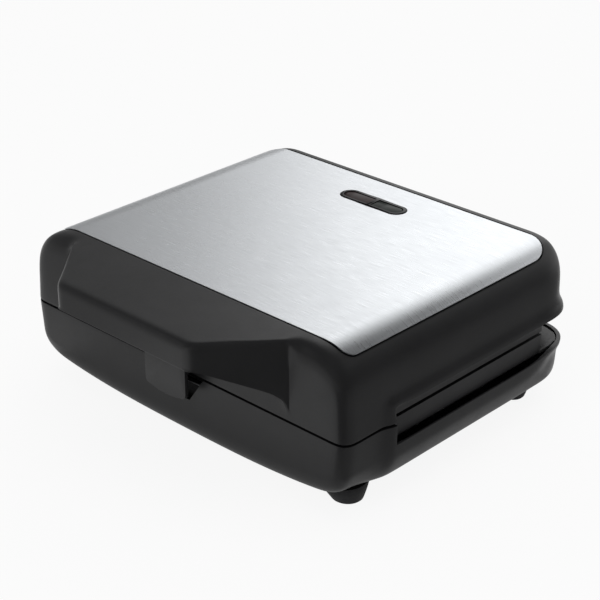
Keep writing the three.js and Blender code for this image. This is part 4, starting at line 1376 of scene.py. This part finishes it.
class Nodes:
    """Builds a node tree whose patterns follow Object coordinates or a UV map."""

    def __init__(self, owner: Material | World, uv: str | None = None) -> None:
        """Starts a material's or the world's tree.

        Args:
            owner: The material or world.
            uv: A UV map that its patterns follow, when they don't follow Object coordinates.
        """
        owner.use_nodes = True
        self.owner = owner
        self.tree = owner.node_tree
        self.shader = self.tree.nodes.get("Principled BSDF")
        self.uv = uv

    def feed(self, node: Node, sockets: dict) -> None:
        """Sets a node's inputs: an output is linked, and a number becomes the socket's own.

        Args:
            node: The node.
            sockets: What each input gets, by its name or place.
        """
        for key, value in sockets.items():
            if isinstance(value, NodeSocket):
                self.tree.links.new(value, node.inputs[key])
            else:
                node.inputs[key].default_value = value

    def added(self, kind: str, sockets: dict | None = None) -> Node:
        """Adds a node.

        Args:
            kind: Its type, without the part that all shader nodes share.
            sockets: What its inputs get.

        Returns:
            The node.
        """
        node = self.tree.nodes.new(f"ShaderNode{kind}")
        self.feed(node, sockets or {})
        return node

    def place(self) -> NodeSocket:
        """Adds the coordinates that a pattern follows.

        Returns:
            Their output.
        """
        if self.uv is None:
            return self.added("TexCoord").outputs["Object"]
        source = self.added("UVMap")
        source.uv_map = self.uv
        return source.outputs["UV"]

    def noise(self, size: float, stretch: Numbers = (1, 1, 1), detail: float = 2.0) -> NodeSocket:
        """Adds a noise pattern.

        Args:
            size: The size of its grain in millimetres.
            stretch: How much longer the grain is along each axis.
            detail: How many finer layers it has.

        Returns:
            The pattern's output.
        """
        scale = tuple(1 / (size * MM * s) for s in stretch)
        mapped = self.added("Mapping", {"Vector": self.place(), "Scale": scale}).outputs["Vector"]
        return self.added("TexNoise", {"Vector": mapped, "Scale": 1.0, "Detail": detail}).outputs["Fac"]

    def specks(self, size: float) -> NodeSocket:
        """Adds a cell pattern of a size in millimetres that falls to nought at each cell's middle."""
        cells = self.added("TexVoronoi", {"Vector": self.place(), "Scale": 1 / (size * MM)})
        return cells.outputs["Distance"]

    def spread(
        self, value: NodeSocket, low: float, high: float, start: float = 0.3, end: float = 0.7
    ) -> NodeSocket:
        """Spreads what a pattern holds from start to end between low and high."""
        sockets = {"Value": value, "From Min": start, "From Max": end, "To Min": low, "To Max": high}
        return self.added("MapRange", sockets).outputs["Result"]

    def total(self, first: NodeSocket, second: NodeSocket, kind: str = "ADD") -> NodeSocket:
        """Combines two patterns by arithmetic.

        Args:
            first: One pattern.
            second: The other.
            kind: The operation.

        Returns:
            The result.
        """
        node = self.added("Math", {0: first, 1: second})
        node.operation = kind
        return node.outputs[0]

    def paint(self, tone: NodeSocket, low: Numbers, high: Numbers, rough: NodeSocket) -> None:
        """Gives the shader its colour and roughness.

        Args:
            tone: The pattern that mixes two colours, from nought to one.
            low: The colour at its low end.
            high: The colour at its high end.
            rough: The roughness.
        """
        mix = self.added("Mix", {0: tone, 6: (*low, 1), 7: (*high, 1)})
        mix.data_type = "RGBA"
        self.feed(self.shader, {"Base Color": mix.outputs[2], "Roughness": rough})

    def bump(self, height: NodeSocket, depth: float, strength: float) -> None:
        """Lets a pattern raise the surface by a depth in millimetres, as strongly as it is told."""
        node = self.added("Bump", {"Height": height, "Distance": depth * MM, "Strength": strength})
        self.feed(self.shader, {"Normal": node.outputs["Normal"]})

    def shown_rays(self) -> NodeSocket:
        """Tells rays that show the background from those that light the object.

        Returns:
            One for camera, glossy and transmission rays.
        """
        rays = self.added("LightPath").outputs
        total = self.total(rays["Is Camera Ray"], rays["Is Glossy Ray"], "MAXIMUM")
        return self.total(total, rays["Is Transmission Ray"], "MAXIMUM")


def tinged(colour: Numbers, share: float) -> list[float]:
    """Gives a darker or brighter form of a colour."""
    return [part * share for part in colour]


@dataclass(frozen=True)
class Finish:
    """What every finish has."""

    name: str
    colour: Numbers
    roughness: float

    def nodes(self, uv: str | None = None) -> Nodes:
        """Starts the finish's material."""
        return Nodes(bpy.data.materials.new(self.name), uv)


@dataclass(frozen=True)
class MouldedPlastic(Finish):
    """Black moulded plastic with a fine even grain."""

    gloss: float
    grain: float
    depth: float
    cloud: float = 38.0
    tones: Point = (0.9, 1.14)
    smoother: float = 0.05
    rougher: float = 0.06
    wear: float = 11.0
    wear_spread: float = 0.025
    coarser: float = 3.5
    strength: float = 0.5

    def material(self) -> Material:
        """Builds the finish.

        Returns:
            The material.
        """
        nodes = self.nodes()
        tone = nodes.spread(nodes.noise(self.cloud, detail=3), 0, 1)
        grain = nodes.noise(self.grain, detail=2)
        rough = nodes.spread(grain, self.roughness - self.smoother, self.roughness + self.rougher)
        worn = nodes.spread(nodes.noise(self.wear, detail=4), -self.wear_spread, self.wear_spread)
        low, high = (tinged(self.colour, share) for share in self.tones)
        nodes.paint(tone, low, high, nodes.total(rough, worn))
        height = nodes.total(grain, nodes.noise(self.grain * self.coarser, detail=1))
        nodes.bump(height, self.depth, self.strength)
        nodes.feed(nodes.shader, {"Specular IOR Level": self.gloss})
        return nodes.owner


@dataclass(frozen=True)
class BrushedSteel(Finish):
    """Steel brushed in one direction, along the sheet's own flow map.

    Each kind of line is given by its width, how long it is drawn out and its share of the pattern.
    """

    anisotropy: float
    lines: Sequence[Numbers] = ((0.32, 42, 0.78), (0.9, 28, 0.22))
    broad: float = 60.0
    broad_stretch: float = 1.6
    drift: float = 0.012
    darker: float = 0.86
    smoother: float = 0.05
    rougher: float = 0.06
    depth: float = 0.012
    strength: float = 0.25

    def material(self) -> Material:
        """Builds the finish.

        Returns:
            The material.
        """
        nodes = self.nodes("flow")
        kinds = ((nodes.noise(size, (stretch, 1, 1), 3), share) for size, stretch, share in self.lines)
        lines = nodes.total(*(nodes.spread(kind, 0, share) for kind, share in kinds))
        rough = nodes.spread(lines, self.roughness + self.rougher, self.roughness - self.smoother, 0, 1)
        broad = nodes.noise(self.broad, (self.broad_stretch, 1, 1), 1)
        rough = nodes.total(rough, nodes.spread(broad, -self.drift, self.drift))
        nodes.paint(lines, tinged(self.colour, self.darker), self.colour, rough)
        nodes.bump(lines, self.depth, self.strength)
        tangent = nodes.added("Tangent")
        tangent.direction_type = "UV_MAP"
        tangent.uv_map = "flow"
        sockets = {"Tangent": tangent.outputs["Tangent"], "Metallic": 1.0, "Anisotropic": self.anisotropy}
        nodes.feed(nodes.shader, sockets)
        return nodes.owner


@dataclass(frozen=True)
class Coating(Finish):
    """Dark non-stick coating with fine pale specks over cast aluminium."""

    speck: Numbers
    cell: float = 0.9
    speck_edge: Point = (0.06, 0.16)
    patch: float = 1.6
    patch_edge: Point = (0.5, 0.62)
    grain: float = 0.5
    smoother: float = 0.06
    rougher: float = 0.08
    depth: float = 0.03
    strength: float = 0.5
    gloss: float = 0.4

    def material(self) -> Material:
        """Builds the finish.

        Returns:
            The material.
        """
        nodes = self.nodes()
        dots = nodes.spread(nodes.specks(self.cell), 1, 0, *self.speck_edge)
        patches = nodes.spread(nodes.noise(self.patch), 0, 1, *self.patch_edge)
        grain = nodes.noise(self.grain, detail=3)
        rough = nodes.spread(grain, self.roughness - self.smoother, self.roughness + self.rougher)
        nodes.paint(nodes.total(dots, patches, "MULTIPLY"), self.colour, self.speck, rough)
        nodes.bump(grain, self.depth, self.strength)
        nodes.feed(nodes.shader, {"Specular IOR Level": self.gloss})
        return nodes.owner


@dataclass(frozen=True)
class BareMetal(Finish):
    """Plain metal with faint drawing marks."""

    stretch: Numbers
    marks: float = 0.8
    stain: float = 9.0
    duller: float = 0.8
    smoother: float = 0.06
    rougher: float = 0.1
    depth: float = 0.01
    strength: float = 0.4

    def material(self) -> Material:
        """Builds the finish.

        Returns:
            The material.
        """
        nodes = self.nodes()
        marks = nodes.noise(self.marks, self.stretch, 3)
        stain = nodes.spread(nodes.noise(self.stain, detail=3), 0, 1)
        rough = nodes.spread(marks, self.roughness - self.smoother, self.roughness + self.rougher)
        nodes.paint(stain, tinged(self.colour, self.duller), self.colour, rough)
        nodes.bump(marks, self.depth, self.strength)
        nodes.feed(nodes.shader, {"Metallic": 1.0})
        return nodes.owner


@dataclass(frozen=True)
class SmokedLens(Finish):
    """A dark glossy lens, tinted within."""

    roughness: float = 0.06
    cloud: float = 5.0
    deeper: float = 0.6
    haze: float = 2.0
    haze_spread: float = 0.05
    gloss: float = 0.05

    def material(self) -> Material:
        """Builds the finish.

        Returns:
            The material.
        """
        nodes = self.nodes()
        tone = nodes.spread(nodes.noise(self.cloud, detail=2), 0, 1)
        haze = nodes.noise(self.haze, detail=3)
        rough = nodes.spread(haze, self.roughness, self.roughness + self.haze_spread)
        nodes.paint(tone, tinged(self.colour, self.deeper), self.colour, rough)
        nodes.feed(nodes.shader, {"Specular IOR Level": self.gloss})
        return nodes.owner


@dataclass(frozen=True)
class MattePorcelain(Finish):
    """Pale unglazed ceramic or heat-proof moulding."""

    roughness: float = 0.6
    rougher: float = 0.2
    grain: float = 0.7
    cloud: float = 6.0
    darker: float = 0.88
    depth: float = 0.04
    strength: float = 0.6

    def material(self) -> Material:
        """Builds the finish.

        Returns:
            The material.
        """
        nodes = self.nodes()
        grain = nodes.noise(self.grain, detail=4)
        tone = nodes.spread(nodes.noise(self.cloud), 0, 1)
        rough = nodes.spread(grain, self.roughness, self.roughness + self.rougher)
        nodes.paint(tone, tinged(self.colour, self.darker), self.colour, rough)
        nodes.bump(grain, self.depth, self.strength)
        return nodes.owner


class Finishes:
    """Every finish of the object, each built once."""

    def __init__(self) -> None:
        """Builds the materials."""
        plastics = (
            ("satin_black", (0.0145, 0.0145, 0.0152), 0.36, 0.28, 0.45, 0.02),
            ("flap_black", (0.015, 0.015, 0.0158), 0.34, 0.32, 0.45, 0.015),
            ("frame_grained", (0.03, 0.03, 0.031), 0.5, 0.45, 0.8, 0.06),
            # The next row is painted shade: near-black for faces at the seam, in the catch pocket and on
            # the frames' meeting faces, where the gaps' shade falls.
            ("painted_gap_shade", (0.005, 0.005, 0.0055), 0.7, 0.15, 0.8, 0.05),
            ("gloss_black", (0.005, 0.005, 0.0055), 0.12, 0.12, 1.2, 0.002),
            ("foot_black", (0.012, 0.012, 0.013), 0.62, 0.25, 0.9, 0.04),
        )
        moulded = (MouldedPlastic(*row).material() for row in plastics)
        self.satin, self.flap, self.frame, self.matte, self.gloss, self.rubber = moulded
        self.steel = BrushedSteel("brushed_steel", (0.695, 0.716, 0.738), 0.3, 0.7).material()
        self.coating = Coating("plate_coating", (0.016, 0.016, 0.018), 0.42, (0.09, 0.09, 0.1)).material()
        self.fitting = BareMetal("fitting_steel", (0.55, 0.56, 0.58), 0.3, (6, 1, 1)).material()
        self.blackened = BareMetal("blackened_steel", (0.06, 0.06, 0.064), 0.4, (6, 1, 1)).material()
        self.pan = BareMetal("bright_pan", (0.78, 0.79, 0.8), 0.26, (1, 9, 1)).material()
        self.red = SmokedLens("smoked_red", (0.016, 0.004, 0.004)).material()
        self.green = SmokedLens("smoked_green", (0.004, 0.009, 0.006)).material()
        self.ceramic = MattePorcelain("pale_ceramic", (0.66, 0.62, 0.54)).material()


@dataclass
class HeatedHalf:
    """Frame, plate and clip of one half, softened from the solids."""

    prefix: str
    body: Body
    clip_body: Body
    face: float = 0.8
    face_room: float = 0.55
    deck_half: float = 124.6
    deck_back: float = 199.0
    deck_trim: float = 0.9
    frame_round: float = 0.35
    plate_round: float = 0.7
    clip_round: float = 0.3
    wire: float = 0.3
    wire_steps: int = 8
    wire_angle: float = 60.0
    turns: int = 5
    turn_steps: int = 16
    facing_least: float = 0.9

    def coil(self, material: Material) -> None:
        """Winds the clip's spring between its fixed end and the clip.

        Args:
            material: Its finish.
        """
        node = f"{self.prefix}_clip_spring"
        start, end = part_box(node)
        low, high = housing(start), housing(end)
        middle, steps = (low + high) / 2, self.turns * self.turn_steps
        radius, run = (high.x - low.x) / 2 - self.wire, high.y - low.y - 2 * self.wire
        first = Matrix.Translation((middle.x + radius, low.y + self.wire, middle.z))
        bm = bmesh.new()
        bmesh.ops.create_circle(bm, segments=self.wire_steps, radius=self.wire, matrix=first)
        winding = {"cent": middle, "axis": (0, 1, 0), "dvec": (0, run / steps, 0), "steps": steps}
        bmesh.ops.spin(bm, geom=[*bm.verts, *bm.edges], angle=math.tau * self.turns, **winding)
        filled(bm)
        piece = shaded(made(f"{node}_coil", bm), self.wire_angle)
        piece.data.materials.append(material)
        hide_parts(node)
        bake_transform(piece)
        LOG.info("%s: %d faces", piece.name, len(piece.data.polygons))

    def trim(self, bm: BMesh) -> None:
        """Sets the frame's face back from the seam and trims its deck's rim, so that both gaps show.

        Args:
            bm: The frame's mesh.
        """
        for place in (v.co for v in bm.verts):
            if abs(place.z) < self.face:
                place.z += math.copysign(self.face_room, place.z)
            if abs(place.x) > self.deck_half:
                place.x -= math.copysign(self.deck_trim, place.x)
            if place.y > self.deck_back:
                place.y -= self.deck_trim

    def is_face(self, polygon: MeshPolygon) -> bool:
        """Tells whether a face is the frame's meeting face, which gets painted shade."""
        close = abs(housing(polygon.center).z) < self.face + self.face_room
        return close and abs(polygon.normal.z) > self.facing_least

    def build(self, finishes: Finishes) -> None:
        """Makes and dresses the half's pieces.

        Args:
            finishes: The object's finishes.
        """
        inner_frame = reworked(softened(f"{self.prefix}_inner_frame", self.frame_round), self.trim)
        # The frame's meeting face gets painted shade.
        blackened(presented(inner_frame, finishes.frame, self.body), finishes.matte, self.is_face)
        plate = softened(f"{self.prefix}_cooking_plate", self.plate_round, 3)
        presented(plate, finishes.coating, self.body)
        clip = softened(f"{self.prefix}_plate_clip", self.clip_round)
        presented(clip, finishes.gloss, self.clip_body)
        self.coil(finishes.fitting)
        for name in ("heating_element", "element_cradle_a", "element_cradle_b"):
            dress_node(f"{self.prefix}_{name}", finishes.fitting)
        dress_node(f"{self.prefix}_reflector", finishes.pan)
        dress_node(f"{self.prefix}_thermal_fuse", finishes.ceramic)


@dataclass(frozen=True)
class Lamp:
    """A soft square lamp that faces the object, in metres and watts; glossy pieces may mirror it."""

    name: str
    place: Numbers
    power: float
    size: float
    mirrored: bool = False
    aim: Numbers = (0, 0, 0.06)

    def hang(self) -> None:
        """Adds the lamp to the scene."""
        data = bpy.data.lights.new(self.name, "AREA")
        data.energy = self.power
        data.size = self.size
        lamp = linked(self.name, data)
        lamp.location = self.place
        lamp.rotation_mode = "QUATERNION"
        lamp.rotation_quaternion = (Vector(self.aim) - Vector(self.place)).to_track_quat("-Z", "Y")
        lamp.visible_glossy = self.mirrored


@dataclass(frozen=True)
class Card:
    """A card that only reflections show, as a studio's flags do; the one under the object is painted shadow
    for the floor's shade there.

    Its size in metres is a radius when it is round, or else half its width and half its height.
    """

    name: str
    middle: Numbers
    facing: Numbers
    size: Numbers
    grey: float
    steps: int = 64

    def hang(self) -> None:
        """Adds the card to the scene."""
        bm = bmesh.new()
        if len(self.size) == 1:
            bmesh.ops.create_circle(bm, cap_ends=True, segments=self.steps, radius=self.size[0])
        else:
            bmesh.ops.create_grid(bm, x_segments=1, y_segments=1, size=1)
            bmesh.ops.scale(bm, vec=(*self.size, 1), verts=bm.verts)
        turned = Vector(self.facing).to_track_quat("Z", "Y").to_matrix().to_4x4()
        bmesh.ops.transform(bm, matrix=Matrix.Translation(self.middle) @ turned, verts=bm.verts)
        card = placed(self.name, bm)
        nodes = Nodes(bpy.data.materials.new(self.name))
        dull = {"Base Color": (0, 0, 0, 1), "Specular IOR Level": 0}
        nodes.feed(nodes.shader, {**dull, "Emission Color": WHITE, "Emission Strength": self.grey})
        card.data.materials.append(nodes.owner)
        card.visible_camera = False
        card.visible_diffuse = False
        card.visible_shadow = False
        card.visible_transmission = False


@dataclass
class Studio:
    """Camera, lamps, floor and world, set as for a plain product picture."""

    camera_place: Numbers = (0.6042, -0.62, 0.4981)
    camera_aim: Numbers = (-0.6147, 0.6484, -0.449)
    lens: float = 98.2
    sensor: float = 36.0
    floor_half: float = 6.0
    floor_tone: float = 0.86
    floor_glow: float = 0.9
    white: float = 1.0
    ambient: float = 0.4
    dark: float = 0.05

    def camera(self) -> None:
        """Puts the camera where the photographer's stood."""
        data = bpy.data.cameras.new("viewpoint")
        data.sensor_width = self.sensor
        data.lens = self.lens
        view = linked("viewpoint", data)
        view.location = self.camera_place
        view.rotation_mode = "QUATERNION"
        view.rotation_quaternion = Vector(self.camera_aim).to_track_quat("-Z", "Y")
        bpy.context.scene.camera = view

    def world(self) -> None:
        """Makes a white surround that lights the object softly."""
        nodes = Nodes(bpy.data.worlds.new("surround"))
        strength = nodes.spread(nodes.shown_rays(), self.ambient, self.white, 0, 1)
        nodes.feed(nodes.tree.nodes["Background"], {"Color": WHITE, "Strength": strength})
        bpy.context.scene.world = nodes.owner

    def floor(self) -> None:
        """Lays the pale floor, which keeps a soft shadow."""
        bm = bmesh.new()
        bmesh.ops.create_grid(bm, x_segments=2, y_segments=2, size=self.floor_half)
        piece = placed("pale_floor", bm)
        nodes = Nodes(bpy.data.materials.new("pale_floor"))
        pale = (self.floor_tone, self.floor_tone, self.floor_tone, 1)
        nodes.feed(nodes.shader, {"Base Color": pale, "Roughness": 0.9, "Specular IOR Level": 0.1})
        glow = nodes.added("Emission", {"Color": WHITE})
        share = nodes.spread(nodes.shown_rays(), 0, self.floor_glow, 0, 1)
        mix = nodes.added("MixShader", {0: share, 1: nodes.shader.outputs[0], 2: glow.outputs[0]})
        nodes.feed(nodes.tree.nodes["Material Output"], {"Surface": mix.outputs[0]})
        piece.data.materials.append(nodes.owner)

    def build(self) -> None:
        """Sets the whole scene round the object."""
        self.camera()
        self.world()
        self.floor()
        up, down = (0, 0, 1), (0, 0, -1)
        lights = (
            Lamp("front_key", (0.5, -1.9, 1.3), 13, 1.6),
            Lamp("back_strip", (-0.7, 1.45, 1.15), 3.5, 1.2, True),
            Lamp("top_soft", (0.2, 0.1, 2.2), 14, 1.8),
            Card("left_flag", (-1.5, 0.0, 0.1), (1, 0, 0), (2.0,), 0.37),
            Card("overhead_flag", (0.3, -0.1, 1.6), down, (1.92,), self.dark),
            Card("front_flag", (0.4, -1.7, 1.05), (0, 1, 0), (1.6, 0.8), self.dark),
            Card("right_flag", (1.7, 0.3, 1.0), (-1, 0, 0), (2.4, 1.0), self.dark),
            Card("floor_flag", (0.87, 0.63, 0.001), up, (0.735, 0.76), 0.36),
            Card("corner_flag", (0.85, -1.0, 0.0015), up, (0.75, 0.87), self.dark),
            Card("near_flag", (-0.95, -0.9, 0.001), up, (0.85, 0.76), 0.55),
            # Painted shadow: a grey card under the object, seen only in reflections, stands in for the
            # floor's shade there.
            Card("painted_floor_shadow", (0.0, 0.0, 0.0008), up, (0.132, 0.125), 0.5),
        )
        for light in lights:
            light.hang()
        bpy.context.scene.view_settings.view_transform = "Standard"


def main() -> None:
    """Builds and dresses every piece, in order."""
    logging.basicConfig(level=logging.INFO)
    finishes = Finishes()
    Studio().build()
    panel, window = TopPanel(), PilotWindow()
    lid = LidHousing().build()
    for tool in (panel.cutter(), window.hole()):
        combined(lid, tool, "DIFFERENCE")
    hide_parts("lid_shell")
    # The lid's seam faces get painted shade.
    blackened(presented(shaded(lid), finishes.satin, Body.LID), finishes.matte, at_seam)
    base = BaseHousing()
    base_piece = presented(base.build(), finishes.satin, Body.BASE)
    # The base's seam and catch-pocket faces get painted shade.
    blackened(base_piece, finishes.matte, base.in_painted_shade)
    presented(panel.build(window.hole()), finishes.steel, Body.LID)
    presented(window.bezel(), finishes.gloss, Body.LID)
    presented(window.lens(-1, "power_window", "power_lens"), finishes.red, Body.LID)
    presented(window.lens(1, "ready_window", "ready_lens"), finishes.green, Body.LID)
    presented(softened("latch_flap", 0.7, 3), finishes.flap, Body.LATCH)
    feet = Feet()
    for place in feet.places:
        presented(feet.build(*place), finishes.rubber, Body.BASE)
    HeatedHalf("lower", Body.BASE, Body.LOWER_CLIP).build(finishes)
    HeatedHalf("upper", Body.LID, Body.UPPER_CLIP).build(finishes)
    screws = [f"{end}_frame_screw_{number}" for end in ("base", "lid") for number in range(1, 5)]
    dressed = (
        (finishes.blackened, ["catch_bar"]),
        (finishes.fitting, ["hinge_pin_left", "hinge_pin_right", "latch_pin", "latch_spring", *screws]),
        (finishes.pan, ["thermostat"]),
        (finishes.ceramic, ["terminal_block", "lamp_holder"]),
        (finishes.red, ["power_lamp"]),
        (finishes.green, ["ready_lamp"]),
    )
    for material, names in dressed:
        for name in names:
            dress_node(name, material)
    presented(softened("cord_gland", 0.4), finishes.gloss, Body.BASE)


if __name__ == "__main__":
    main()
